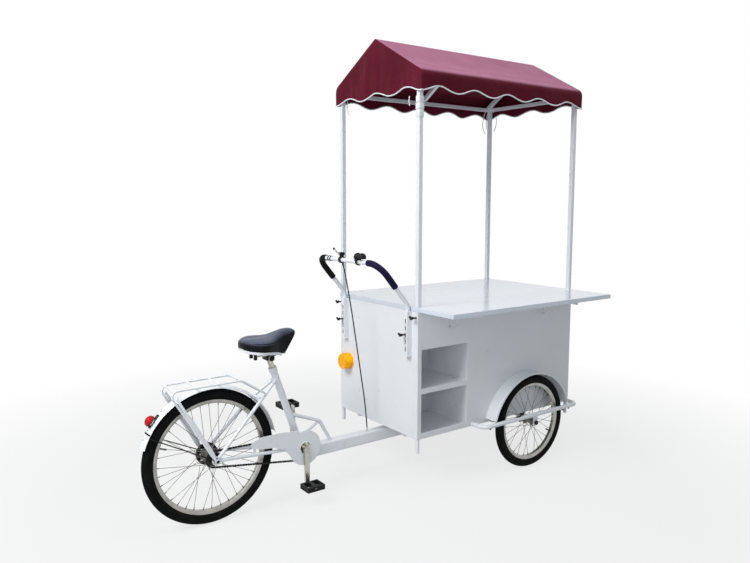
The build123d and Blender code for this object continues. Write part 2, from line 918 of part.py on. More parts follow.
# Guard rails, axle plates and fenders of the front wheels
plate_sheet = 6.0
plate_half = 16.0
inner_plate_y = 330.0
with BuildPart() as guard_rails:
    for side in (-1, 1):
        bent_tube(
            [
                (front_axle_x - guard_behind, side * (box_half + seam), guard_height),
                (front_axle_x - guard_behind, side * guard_out, guard_height),
                (front_axle_x + guard_ahead, side * guard_out, guard_height),
                (front_axle_x + guard_ahead, side * (box_half + seam), guard_height),
            ],
            guard_radius,
            guard_bend,
        )
        outer = side * guard_out
        slab(
            (front_axle_x - plate_half, outer - plate_sheet / 2, front_wheel_radius - plate_half),
            (front_axle_x + plate_half, outer + plate_sheet / 2, guard_height),
        )
        rod(
            (front_axle_x, outer - plate_sheet, front_wheel_radius),
            (front_axle_x, outer + plate_sheet, front_wheel_radius),
            axle_radius + axle_clearance,
            mode=Mode.SUBTRACT,
        )
guard_rails.part.label = "guard_rails"
export_step(guard_rails.part, "parts/guard_rails.step")

axle_nut = 9.0
with BuildPart() as front_axles:
    for side in (-1, 1):
        inner = side * (inner_plate_y - plate_sheet)
        rod(
            (front_axle_x, inner, front_wheel_radius),
            (front_axle_x, side * (guard_out + plate_sheet + axle_nut), front_wheel_radius),
            axle_radius,
        )
        hex_bar(
            (front_axle_x, side * (guard_out + plate_sheet / 2 + seam), front_wheel_radius),
            (front_axle_x, side * (guard_out + plate_sheet / 2 + axle_nut), front_wheel_radius),
            axle_radius * 4,
        )
        low_y = min(inner, side * inner_plate_y)
        slab(
            (front_axle_x - plate_half, low_y, front_wheel_radius - plate_half),
            (front_axle_x + plate_half, low_y + plate_sheet, box_base - seam),
        )
front_axles.part.label = "front_axles"
export_step(front_axles.part, "parts/front_axles.step")

fender_drop = front_fender_top - front_fender_radius
fender_cut = guard_height + guard_radius + seam
with BuildPart() as front_fenders:
    for side in (-1, 1):
        wall = box_half + seam
        edge = wall + front_fender_width
        for near, far, depth in (
            (wall, edge, fender_sheet),
            (edge - fender_sheet, edge, front_fender_lip),
        ):
            with BuildSketch(upright(max(side * near, side * far))):
                with Locations((front_axle_x, fender_drop)):
                    Circle(front_fender_radius)
                    Circle(front_fender_radius - depth, mode=Mode.SUBTRACT)
                with Locations((front_axle_x, fender_cut - front_fender_radius)):
                    Rectangle(front_fender_radius * 3, front_fender_radius * 2, mode=Mode.SUBTRACT)
            extrude(amount=far - near)
front_fenders.part.label = "front_fenders"
export_step(front_fenders.part, "parts/front_fenders.step")

# Wheels: tyre, box-section rim, and a hub with its crossed spokes
wheel_rows = [
    # label, x, y, radius, tyre width, spokes, crosses, flange radius, flange place, barrel radius
    (
        "front_right",
        front_axle_x,
        -front_track_half,
        front_wheel_radius,
        front_tyre_width,
        front_spoke_count,
        front_cross_count,
        front_flange_radius,
        front_flange_place,
        front_barrel_radius,
    ),
    (
        "front_left",
        front_axle_x,
        front_track_half,
        front_wheel_radius,
        front_tyre_width,
        front_spoke_count,
        front_cross_count,
        front_flange_radius,
        front_flange_place,
        front_barrel_radius,
    ),
    (
        "rear",
        rear_axle_x,
        0.0,
        rear_wheel_radius,
        rear_tyre_width,
        rear_spoke_count,
        rear_cross_count,
        rear_flange_radius,
        rear_flange_place,
        rear_barrel_radius,
    ),
]
rim_depth = 17.0
rim_width = 28.0
rim_shoulder = 8.0
rim_bed_width = 16.0
rim_wall = 1.6
spoke_radius = 1.1
flange_sheet = 3.0
tyre_seat_share = 0.95
tyre_outline_shares = [
    # out from the middle and up from the rim, of half the tyre's width and of its height
    (0.56, 0.0),
    (0.90, 0.18),
    (1.0, 0.42),
    (0.97, 0.62),
    (0.78, 0.85),
    (0.50, 0.96),
    (0.18, 1.0),
]
for name, x, y, radius, tyre_width, spokes, crosses, flange, spacing, barrel in wheel_rows:
    section = tyre_width / 2
    tyre_height = tyre_width * tyre_seat_share
    seat = radius - tyre_height
    wheel_section = Plane(origin=at(x, y, radius), x_dir=(0, 1, 0), z_dir=(1, 0, 0))
    wheel_turn = Axis(at(x, y, radius), (0, 1, 0))
    with BuildPart() as tyre:
        with BuildSketch(wheel_section):
            half_outline = [(out * section, seat + up * tyre_height) for out, up in tyre_outline_shares]
            Polygon(*half_outline, *[(-out, up) for out, up in reversed(half_outline)], align=None)
        revolve(axis=wheel_turn)
    finish(tyre, f"tyre_{name}")

    rim_top = seat - seam
    rim_low = rim_top - rim_depth
    with BuildPart() as rim:
        with BuildSketch(wheel_section):
            Polygon(
                (rim_width / 2, rim_top),
                (rim_width / 2, rim_top - rim_shoulder),
                (rim_bed_width / 2, rim_low),
                (-rim_bed_width / 2, rim_low),
                (-rim_width / 2, rim_top - rim_shoulder),
                (-rim_width / 2, rim_top),
                align=None,
            )
            with Locations((0, rim_top)):
                Rectangle(rim_width - 2 * rim_wall, rim_shoulder, mode=Mode.SUBTRACT)
        revolve(axis=wheel_turn)
    finish(rim, f"rim_{name}")

    rim_bed = rim_low - seam
    hub_half = spacing + flange_sheet * 2
    with BuildPart() as hub:
        rod((x, y - hub_half, radius), (x, y + hub_half, radius), barrel)
        for side in (-1, 1):
            rod(
                (x, y + side * spacing - flange_sheet / 2, radius),
                (x, y + side * spacing + flange_sheet / 2, radius),
                flange,
            )
        step = 360 / spokes
        for index in range(spokes):
            side = 1 if index % 2 else -1
            trail = 1 if index % 4 < 2 else -1
            rim_angle = radians(index * step)
            hub_angle = rim_angle - trail * radians(crosses * 2 * step)
            face = side * (spacing + trail * spoke_radius * 1.5)
            root = flange - spoke_radius * 3
            rim_y = y + side * spoke_radius * 2
            rod(
                (x + root * cos(hub_angle), y + face, radius + root * sin(hub_angle)),
                (x + rim_bed * cos(rim_angle), rim_y, radius + rim_bed * sin(rim_angle)),
                spoke_radius,
            )
        rod(
            (x, y - hub_half - seam, radius),
            (x, y + hub_half + seam, radius),
            axle_radius + axle_clearance,
            mode=Mode.SUBTRACT,
        )
    finish(hub, f"spokes_{name}")

# Brake drum on the left of the rear hub: a dished disc with a raised rim and cooling holes
drum_radius = 50.0
drum_width = 13.0
drum_rim = 4.0
drum_face_sheet = 4.0
drum_hole_radius = 5.0
drum_hole_place = 33.0
drum_hole_count = 8
drum_inner = rear_flange_place + flange_sheet * 2 + seam
with BuildPart() as rear_drum:
    rod(
        (rear_axle_x, drum_inner, axle_z_rear),
        (rear_axle_x, drum_inner + drum_width, axle_z_rear),
        drum_radius,
    )
    rod(
        (rear_axle_x, drum_inner + drum_face_sheet, axle_z_rear),
        (rear_axle_x, drum_inner + drum_width + seam, axle_z_rear),
        drum_radius - drum_rim,
        mode=Mode.SUBTRACT,
    )
    for index in range(drum_hole_count):
        turn = radians(360 / drum_hole_count * index)
        hole_x = rear_axle_x + drum_hole_place * cos(turn)
        hole_z = axle_z_rear + drum_hole_place * sin(turn)
        rod(
            (hole_x, drum_inner - seam, hole_z),
            (hole_x, drum_inner + drum_width, hole_z),
            drum_hole_radius,
            mode=Mode.SUBTRACT,
        )
    rod(
        (rear_axle_x, drum_inner - seam, axle_z_rear),
        (rear_axle_x, drum_inner + drum_width, axle_z_rear),
        axle_radius + axle_clearance,
        mode=Mode.SUBTRACT,
    )
rear_drum.part.label = "rear_drum"
export_step(rear_drum.part, "parts/rear_drum.step")

# Rear frame: beam, head, seat tube, stays, dropouts and the front loop
seat_stay_top = 610.0
seat_stay_back = 683.0
seat_stay_half = 44.0
seat_stay_height = 527.0
chain_stay_behind = 90.0
chain_stay_half = 40.0
chain_stay_rise = 6.0
stay_bend = 60.0
dropout_radius = 20.0
dropout_sheet = 6.0
loop_radius = 9.0
loop_bend = 40.0
loop_start_height = 426.0
loop_knee_back = 345.0
loop_knee_height = 360.0
loop_foot_back = 280.0
brace_radius = 6.5
brace_start_height = 290.0
shell_radius = 20.0
shell_half = 34.0
spindle_radius = 10.0
spindle_clearance = 0.3
collar_radius = 20.0
collar_length = 22.0
rear_fender_radius = 321.0
rear_fender_half = 30.0
rear_fender_crown = 9.0
bridge_radius = 5.0
bridge_angle = 46.0
dropout_face = dropout_half + dropout_sheet / 2
seat_stay_bend = (box_back - seat_stay_back, seat_stay_half, seat_stay_height)
chain_stay_bend = (crank_x - chain_stay_behind, chain_stay_half, bracket_height + chain_stay_rise)
loop_knee = (box_back - loop_knee_back, 0, loop_knee_height)
loop_foot = (box_back - loop_foot_back, 0, beam_top - loop_radius)


def seat_line(z):
    """Place along the seat tube's axis at a height."""
    share = (z - bracket_height) / (seat_top_height - bracket_height)
    return (crank_x + share * (box_back - seat_top_back - crank_x), 0, z)


def about_axle(radius, angle, y):
    """Place round the rear axle, the angle rising from straight ahead."""
    turn = radians(angle)
    return (rear_axle_x + radius * cos(turn), y, axle_z_rear + radius * sin(turn))


with BuildPart() as rear_frame:
    with BuildSketch(across(crank_x)):
        with Locations((0, beam_middle)):
            RectangleRounded(beam_width, beam_height, beam_corner)
    extrude(amount=pivot_x - crank_x)
    rod((pivot_x, 0, head_low), (pivot_x, 0, beam_top), head_radius)
    rod((crank_x, -shell_half, bracket_height), (crank_x, shell_half, bracket_height), shell_radius)
    rod(seat_line(bracket_height), seat_line(seat_top_height), seat_tube_radius)
    rod(seat_line(seat_top_height - collar_length), seat_line(seat_top_height), collar_radius)
    for side in (-1, 1):
        stay_top = seat_line(seat_stay_top)
        bent_tube(
            [
                (stay_top[0], side * seat_tube_radius / 2, seat_stay_top),
                (seat_stay_bend[0], side * seat_stay_bend[1], seat_stay_bend[2]),
                about_axle(dropout_radius * 3 / 4, 45, side * dropout_half),
            ],
            stay_radius,
            stay_bend,
        )
        bent_tube(
            [
                (crank_x, side * shell_half / 2, bracket_height),
                (chain_stay_bend[0], side * chain_stay_bend[1], chain_stay_bend[2]),
                about_axle(dropout_radius, -5, side * dropout_half),
            ],
            stay_radius,
            stay_bend,
        )
        with BuildSketch(upright(side * dropout_half + dropout_sheet / 2)):
            with Locations((rear_axle_x, axle_z_rear)):
                Circle(dropout_radius)
        extrude(amount=dropout_sheet)
    bridge_reach = rear_fender_radius + fender_sheet / 2 + seam + bridge_radius
    rod(
        about_axle(bridge_reach, bridge_angle, -seat_stay_bend[1]),
        about_axle(bridge_reach, bridge_angle, seat_stay_bend[1]),
        bridge_radius,
    )
    bent_tube([seat_line(loop_start_height), loop_knee, loop_foot], loop_radius, loop_bend)
    rod(seat_line(brace_start_height), loop_knee, brace_radius)
    rod(
        (crank_x, -shell_half - seam, bracket_height),
        (crank_x, shell_half + seam, bracket_height),
        spindle_radius + spindle_clearance,
        mode=Mode.SUBTRACT,
    )
    rod(
        (pivot_x, 0, head_low - seam),
        (pivot_x, 0, beam_top + seam),
        kingpin_radius + kingpin_clearance,
        mode=Mode.SUBTRACT,
    )
    for side in (-1, 1):
        rod(
            (rear_axle_x, side * (dropout_half - stay_radius), axle_z_rear),
            (rear_axle_x, side * (dropout_half + stay_radius), axle_z_rear),
            axle_radius + axle_clearance,
            mode=Mode.SUBTRACT,
        )
rear_frame.part.label = "rear_frame"
export_step(rear_frame.part, "parts/rear_frame.step")

axle_end = dropout_half + 20.0
nut_out = dropout_face + axle_nut
with BuildPart() as rear_axle:
    rod((rear_axle_x, -axle_end, axle_z_rear), (rear_axle_x, axle_end, axle_z_rear), axle_radius)
    for side in (-1, 1):
        hex_bar(
            (rear_axle_x, side * (dropout_face + seam), axle_z_rear),
            (rear_axle_x, side * nut_out, axle_z_rear),
            axle_radius * 4,
        )
rear_axle.part.label = "rear_axle"
export_step(rear_axle.part, "parts/rear_axle.step")

# Saddle on its post, with a cross clamp and two rails
post_rise = 48.0
saddle_lift = 20.0
saddle_back = 618.0
saddle_rear = 137.0
saddle_nose = 136.0
wing_radius = 52.0
wing_half = 100.0
nose_radius = 30.0
saddle_height = 108.0
saddle_end_cut = 3.0  # the upright cut at the tail and the nose
saddle_base = seat_top_height + post_rise + saddle_lift
saddle_x = box_back - saddle_back
saddle_rail_radius = 3.5
saddle_rail_y = 22.0
saddle_rail_half = 80.0
saddle_clamp_radius = 14.0
saddle_clamp_half = 30.0
saddle_rail_z = saddle_base - seam - saddle_rail_radius
with BuildPart() as seat_post:
    post_top_point = seat_line(seat_top_height + post_rise)
    rod(seat_line(seat_top_height + seam), post_top_point, seat_post_radius)
    rod(
        (post_top_point[0], -saddle_clamp_half, post_top_point[2]),
        (post_top_point[0], saddle_clamp_half, post_top_point[2]),
        saddle_clamp_radius,
    )
    for y in (-saddle_rail_y, saddle_rail_y):
        rod(
            (saddle_x - saddle_rail_half, y, saddle_rail_z),
            (saddle_x + saddle_rail_half, y, saddle_rail_z),
            saddle_rail_radius,
        )
seat_post.part.label = "seat_post"
export_step(seat_post.part, "parts/seat_post.step")

saddle_base_shares = [
    # forward of the tail and up from the base, of the saddle's length and height
    (0.03, 0.0),
    (0.72, 0.0),
    (0.80, 0.22),
    (0.99, 0.72),
]
saddle_top_shares = [
    # the arcs of the top, each an end and the middle of the arc that follows
    (0.99, 0.72),
    (1.0, 0.88),
    (0.93, 0.97),
    (0.80, 1.0),
    (0.66, 0.91),
    (0.47, 0.81),
    (0.27, 0.84),
    (0.06, 0.82),
    (0.0, 0.55),
]
with BuildPart() as saddle:
    with BuildSketch(level(saddle_base)):
        for side in (-1, 1):
            wing_x = saddle_x - saddle_rear - saddle_end_cut + wing_radius
            with Locations((wing_x, side * (wing_half - wing_radius))):
                Circle(wing_radius)
        with Locations((saddle_x + saddle_nose + saddle_end_cut - nose_radius, 0)):
            Circle(nose_radius)
        make_hull()
    extrude(amount=saddle_height)
    saddle_length = saddle_rear + saddle_nose

    def on_saddle(shares):
        """Point of the side outline from shares of the length and the height."""
        return (saddle_x - saddle_rear + shares[0] * saddle_length, saddle_base + shares[1] * saddle_height)

    with BuildSketch(upright(wing_half)):
        with BuildLine():
            Polyline(*[on_saddle(place) for place in saddle_base_shares])
            for start, middle, end in zip(
                saddle_top_shares[0::2], saddle_top_shares[1::2], saddle_top_shares[2::2]
            ):
                ThreePointArc(on_saddle(start), on_saddle(middle), on_saddle(end))
            Line(on_saddle(saddle_top_shares[-1]), on_saddle(saddle_base_shares[0]))
        make_face()
    extrude(amount=2 * wing_half, mode=Mode.INTERSECT)
saddle.part.label = "saddle"
export_step(saddle.part, "parts/saddle.step")

# Rear rack on the seat stays and the axle ends
rack_half = 62.0
rack_radius = 5.0
rack_height = 642.0
rack_rear = 1112.0
rack_front = 782.0
rack_bar_count = 4
rack_bar_radius = 4.0
rack_bar_inset = 26.0
rack_front_bend = 60.0
rack_rear_bend = 24.0
rack_foot_ahead = 650.0  # behind the box
rack_side_gap = 1.0
rack_eye_radius = 12.0
rack_eye_sheet = 6.0
foot_share = (box_back - rack_foot_ahead - seat_line(seat_stay_top)[0]) / (
    seat_stay_bend[0] - seat_line(seat_stay_top)[0]
)
foot_y = seat_tube_radius / 2 + foot_share * (seat_stay_bend[1] - seat_tube_radius / 2)
foot_z = seat_stay_top + foot_share * (seat_stay_bend[2] - seat_stay_top)
eye_y = nut_out + seam
with BuildPart() as rear_rack:
    for side in (-1, 1):
        bent_tube(
            [
                (
                    box_back - rack_foot_ahead,
                    side * (foot_y + stay_radius + rack_radius + rack_side_gap),
                    foot_z,
                ),
                (box_back - rack_front, side * rack_half, rack_height),
                (box_back - rack_rear, side * rack_half, rack_height),
                about_axle(rack_eye_radius, 135, side * (eye_y + rack_eye_sheet / 2)),
            ],
            rack_radius,
            [rack_front_bend, rack_rear_bend],
        )
        rod(
            (rear_axle_x, side * eye_y, axle_z_rear),
            (rear_axle_x, side * (eye_y + rack_eye_sheet), axle_z_rear),
            rack_eye_radius,
        )
        rod(
            (rear_axle_x, side * (eye_y - rack_radius), axle_z_rear),
            (rear_axle_x, side * (eye_y + rack_eye_sheet + rack_radius), axle_z_rear),
            axle_radius + axle_clearance,
            mode=Mode.SUBTRACT,
        )
    bar_pitch = (rack_rear - rack_front - rack_bar_inset) / (rack_bar_count - 1)
    for index in range(rack_bar_count):
        x = box_back - rack_rear + rack_bar_inset + index * bar_pitch
        rod((x, -rack_half, rack_height), (x, rack_half, rack_height), rack_bar_radius)
rear_rack.part.label = "rear_rack"
export_step(rear_rack.part, "parts/rear_rack.step")

# Rear fender with a crowned section, its stays and the tail lamp
fender_front_angle = 10.0
fender_tail_angle = 162.0
with BuildPart() as rear_fender:
    fender_start = Plane(
        origin=at(rear_axle_x, 0, axle_z_rear),
        x_dir=(0, 1, 0),
        z_dir=(sin(radians(fender_front_angle)), 0, -cos(radians(fender_front_angle))),
    )
    with BuildSketch(fender_start):
        with BuildLine():
            ThreePointArc(
                (-rear_fender_half, rear_fender_radius - rear_fender_crown),
                (0, rear_fender_radius),
                (rear_fender_half, rear_fender_radius - rear_fender_crown),
            )
        trace(line_width=fender_sheet)
    revolve(
        axis=Axis(at(rear_axle_x, 0, axle_z_rear), (0, -1, 0)),
        revolution_arc=fender_tail_angle - fender_front_angle,
    )
rear_fender.part.label = "rear_fender"
export_step(rear_fender.part, "parts/rear_fender.step")

fender_stay_radius = 2.5
fender_stay_angle = 152.0
fender_stay_reach = 16.0
fender_edge_radius = rear_fender_radius - rear_fender_crown
with BuildPart() as fender_stays:
    for side in (-1, 1):
        rod(
            about_axle(
                fender_edge_radius,
                fender_stay_angle,
                side * (rear_fender_half + seam + fender_stay_radius),
            ),
            about_axle(
                fender_stay_reach,
                fender_stay_angle,
                side * (dropout_face + seam + fender_stay_radius),
            ),
            fender_stay_radius,
        )
fender_stays.part.label = "fender_stays"
export_step(fender_stays.part, "parts/fender_stays.step")

lamp_angle = 139.0
lamp_radius = 22.0
lamp_depth = 30.0
lamp_round = 9.0
lamp_z = about_axle(rear_fender_radius, lamp_angle, 0)[2]
lamp_low = lamp_z - lamp_radius - axle_z_rear
lamp_x = rear_axle_x - (rear_fender_radius**2 - lamp_low**2) ** 0.5 - fender_sheet
with BuildPart() as tail_lamp:
    rod((lamp_x, 0, lamp_z), (lamp_x - lamp_depth, 0, lamp_z), lamp_radius)
    fillet(tail_lamp.edges().sort_by(Axis.X)[0], radius=lamp_round)
tail_lamp.part.label = "tail_lamp"
export_step(tail_lamp.part, "parts/tail_lamp.step")

# Chain, cog, cranks, pedals and the chain guard
chain_distance = hypot(crank_x - rear_axle_x, bracket_height - axle_z_rear)
chain_tilt = degrees(atan2(bracket_height - axle_z_rear, crank_x - rear_axle_x))
drive_plane = Plane(
    origin=at(rear_axle_x, -chain_line + chain_width / 2, axle_z_rear),
    x_dir=(cos(radians(chain_tilt)), 0, sin(radians(chain_tilt))),
    z_dir=(0, -1, 0),
)


wrap_angle = asin((chainring_radius - cog_radius) / chain_distance)
top_tangent = pi / 2 + wrap_angle
straight_length = chain_distance * cos(wrap_angle)
cog_wrap = (pi - 2 * wrap_angle) * cog_radius
ring_wrap = (pi + 2 * wrap_angle) * chainring_radius
chain_loop = 2 * straight_length + cog_wrap + ring_wrap
link_count = round(chain_loop / chain_pitch / 2) * 2


def chain_place(travel, out):
    """Point beside the chain's pitch line, a travel on from the top of the cog and so far out."""
    if travel < straight_length:
        normal = top_tangent
        start = (cog_radius * cos(normal), cog_radius * sin(normal))
        ahead = (sin(normal) * travel, -cos(normal) * travel)
        return (start[0] + ahead[0] + out * cos(normal), start[1] + ahead[1] + out * sin(normal))
    travel -= straight_length
    if travel < ring_wrap:
        normal = top_tangent - travel / chainring_radius
        reach = chainring_radius + out
        return (chain_distance + reach * cos(normal), reach * sin(normal))
    travel -= ring_wrap
    if travel < straight_length:
        normal = -top_tangent
        start = (
            chain_distance + chainring_radius * cos(normal),
            chainring_radius * sin(normal),
        )
        ahead = (sin(normal) * travel, -cos(normal) * travel)
        return (start[0] + ahead[0] + out * cos(normal), start[1] + ahead[1] + out * sin(normal))
    travel -= straight_length
    normal = -top_tangent - travel / cog_radius
    reach = cog_radius + out
    return (reach * cos(normal), reach * sin(normal))


def toothed_disc(centre, radius, root, teeth, phase):
    """Face of a sprocket whose teeth rise from a root circle."""
    points = []
    for index in range(teeth):
        for share, reach in ((0.0, radius), (0.3, root), (0.7, root)):
            turn = phase + 2 * pi * (index + share) / teeth
            points.append((centre[0] + reach * cos(turn), centre[1] + reach * sin(turn)))
    Polygon(*points, align=None)


chain_waist_share = 0.68
with BuildPart() as chain:
    with BuildSketch(drive_plane):
        for side, mode in ((1, Mode.ADD), (-1, Mode.SUBTRACT)):
            edge = []
            for index in range(link_count):
                for share, swell in ((0.0, 1.0), (0.5, chain_waist_share)):
                    travel = (index + share) / link_count * chain_loop
                    edge.append(chain_place(travel, side * swell * chain_height / 2))
            Polygon(*edge, align=None, mode=mode)
    extrude(amount=chain_width)
chain.part.label = "chain"
export_step(chain.part, "parts/chain.step")

ring_sheet = 3.0
tooth_height = 4.0
cog_boss_radius = 20.0
wheel_hub_half = 37.0
ring_plane = Plane(
    origin=at(rear_axle_x, -chain_line + ring_sheet / 2, axle_z_rear),
    x_dir=drive_plane.x_dir,
    z_dir=(0, -1, 0),
)
cog_tip = cog_radius - chain_height / 2 - chain_run_gap
with BuildPart() as rear_cog:
    with BuildSketch(ring_plane):
        toothed_disc((0, 0), cog_tip, cog_tip - tooth_height, cog_tooth_count, top_tangent)
    extrude(amount=ring_sheet)
    rod(
        (rear_axle_x, -chain_line, axle_z_rear),
        (rear_axle_x, -wheel_hub_half - seam, axle_z_rear),
        cog_boss_radius,
    )
    rod(
        (rear_axle_x, -chain_line - ring_sheet, axle_z_rear),
        (rear_axle_x, -wheel_hub_half, axle_z_rear),
        axle_radius + axle_clearance,
        mode=Mode.SUBTRACT,
    )
rear_cog.part.label = "rear_cog"
export_step(rear_cog.part, "parts/rear_cog.step")

crank_root_radius = 15.0
crank_tip_radius = 10.0
pedal_axle_out = 150.0
ring_tip = chainring_radius - chain_height / 2 - chain_run_gap
ring_window_count = 5
ring_window_radius = 11.0
ring_window_place = 33.0
with BuildPart() as cranks:
    with BuildSketch(ring_plane):
        toothed_disc(
            (chain_distance, 0),
            ring_tip,
            ring_tip - tooth_height,
            chainring_tooth_count,
            top_tangent + straight_length / chainring_radius,
        )
        with Locations((chain_distance, 0)):
            with PolarLocations(ring_window_place, ring_window_count):
                Circle(ring_window_radius, mode=Mode.SUBTRACT)
    extrude(amount=ring_sheet)
    rod(
        (crank_x, -crank_inner - crank_thickness, bracket_height),
        (crank_x, crank_inner + crank_thickness, bracket_height),
        spindle_radius,
    )
    for side in (-1, 1):
        crank_plane = upright(max(side * crank_inner, side * (crank_inner + crank_thickness)))
        tip_z = bracket_height + side * crank_length
        limb(
            crank_plane,
            (crank_x, bracket_height),
            (crank_x, tip_z),
            crank_root_radius,
            crank_tip_radius,
            crank_thickness,
        )
        rod(
            (crank_x, side * (crank_inner + crank_thickness - seam), tip_z),
            (crank_x, side * pedal_axle_out, tip_z),
            axle_radius,
        )
cranks.part.label = "cranks"
export_step(cranks.part, "parts/cranks.step")

pedal_inner = 82.0
pedal_width = 74.0
pedal_length = 92.0
pedal_height = 24.0
pedal_core_radius = 10.0
pedal_wall = 7.0
pedal_reflector = 2.0
pedal_reflector_height = 14.0
for label, side in (("pedal_right", -1), ("pedal_left", 1)):
    tip_z = bracket_height + side * crank_length
    low_y = min(side * pedal_inner, side * (pedal_inner + pedal_width))
    window = pedal_length / 2 - pedal_core_radius - pedal_wall
    with BuildPart() as pedal:
        slab(
            (crank_x - pedal_length / 2, low_y, tip_z - pedal_height / 2),
            (crank_x + pedal_length / 2, low_y + pedal_width, tip_z + pedal_height / 2),
        )
        for end in (-1, 1):
            middle = crank_x + end * (pedal_core_radius + window / 2)
            slab(
                (middle - window / 2, low_y + pedal_wall, tip_z - pedal_height),
                (middle + window / 2, low_y + pedal_width - pedal_wall, tip_z + pedal_height),
                mode=Mode.SUBTRACT,
            )
            recess = crank_x + end * pedal_length / 2
            slab(
                (recess - pedal_reflector, low_y + pedal_wall, tip_z - pedal_reflector_height / 2),
                (
                    recess + pedal_reflector,
                    low_y + pedal_width - pedal_wall,
                    tip_z + pedal_reflector_height / 2,
                ),
                mode=Mode.SUBTRACT,
            )
        rod(
            (crank_x, low_y - seam, tip_z),
            (crank_x, low_y + pedal_width + seam, tip_z),
            axle_radius + axle_clearance,
            mode=Mode.SUBTRACT,
        )
    finish(pedal, label)

guard_sheet = 1.6
guard_hole = 28.0
guard_end_radius = 84.0
guard_reach = 278.0
guard_rise = 98.0
guard_lip = 3.6
guard_outline_shares = [
    # forward of the crank's centre and up, of the guard's reach and rise
    (-0.11, 0.92),
    (-0.49, 1.0),
    (-0.82, 0.99),
    (-1.0, 0.82),
    (-1.0, 0.57),
    (-0.82, 0.42),
    (-0.60, 0.36),
    (-0.40, 0.12),
    (-0.28, -0.29),
]
guard_tab = 12.0
guard_tab_x = -264.0
guard_tab_low = 33.0
guard_tab_high = 60.0
guard_boss_x = -112.0
guard_boss_z = 20.0
guard_boss_y = -47.2
guard_boss_radius = 6.0
with BuildPart() as chain_guard:
    guard_plane = Plane(
        origin=at(crank_x, -chain_guard_face + guard_sheet, bracket_height),
        x_dir=(1, 0, 0),
        z_dir=(0, -1, 0),
    )
    with BuildSketch(guard_plane) as guard_face:
        Circle(guard_end_radius)
        with BuildLine():
            outline = [(along * guard_reach, up * guard_rise) for along, up in guard_outline_shares]
            Polyline(*outline, close=True)
        make_face()
        with Locations((guard_tab_x, (guard_tab_low + guard_tab_high) / 2)):
            Rectangle(guard_tab, guard_tab_high - guard_tab_low)
        Circle(guard_hole, mode=Mode.SUBTRACT)
    extrude(amount=guard_sheet)
    with BuildSketch(guard_plane):
        add(guard_face.sketch_local)
        offset(amount=-guard_sheet, mode=Mode.SUBTRACT)
    extrude(amount=-guard_lip)
    boss_x = crank_x + guard_boss_x
    boss_z = bracket_height + guard_boss_z
    rod((boss_x, guard_boss_y, boss_z), (boss_x, -chain_guard_face, boss_z), guard_boss_radius)
chain_guard.part.label = "chain_guard"
export_step(chain_guard.part, "parts/chain_guard.step")
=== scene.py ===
import json
import math

import bmesh
import bpy
from mathutils import Matrix, Vector, noise


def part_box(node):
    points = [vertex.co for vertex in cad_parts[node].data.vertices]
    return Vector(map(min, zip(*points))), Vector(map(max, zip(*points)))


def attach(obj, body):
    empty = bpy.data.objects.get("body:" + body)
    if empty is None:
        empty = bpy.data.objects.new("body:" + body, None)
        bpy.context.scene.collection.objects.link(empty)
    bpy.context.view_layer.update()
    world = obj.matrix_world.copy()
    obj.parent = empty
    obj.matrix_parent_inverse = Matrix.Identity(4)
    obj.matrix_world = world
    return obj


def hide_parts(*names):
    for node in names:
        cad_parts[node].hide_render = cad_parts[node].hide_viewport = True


# Looks of a pedal vending tricycle. Metres, +X forward, +Y to the rider's left, +Z up.
# The origin is on the ground under the middle of the overall length and width.

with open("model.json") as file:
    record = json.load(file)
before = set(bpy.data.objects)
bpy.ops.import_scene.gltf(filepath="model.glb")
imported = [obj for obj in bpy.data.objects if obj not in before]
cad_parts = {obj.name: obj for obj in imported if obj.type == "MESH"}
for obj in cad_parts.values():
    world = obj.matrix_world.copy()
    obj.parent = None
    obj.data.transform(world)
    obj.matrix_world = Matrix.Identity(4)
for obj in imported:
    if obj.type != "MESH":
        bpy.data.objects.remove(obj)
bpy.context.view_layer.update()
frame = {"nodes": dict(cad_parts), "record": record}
nodes = frame["nodes"]

MM = 0.001
MID_Y = 0.075  # the centre plane of the bike
CART, REAR = "cart", "rear_end"


def at(x, y, z):
    """A point given from the bike's centre plane."""
    return Vector((x, MID_Y + y, z))


def at_mm(x, y, z):
    """The same, in millimetres."""
    return at(x * MM, y * MM, z * MM)


def mm(x, y, z):
    """A move given in millimetres."""
    return Vector((x, y, z)) * MM


def spread(first, last, steps):
    """Evenly spaced values from first to last."""
    return [first + (last - first) * i / steps for i in range(steps + 1)]


def turns(count):
    """Angles of as many points round a circle."""
    return spread(0, math.tau, count)[:-1]


def polar(middle, reach, turn, out=0.0):
    """A point at a reach and a turn about a crosswise axis, and moved out along it."""
    return middle + Vector((reach * math.cos(turn), out, reach * math.sin(turn)))


# Materials
MIX_A, MIX_B, MIX_RESULT = 6, 7, 2  # a Mix node's colour sockets


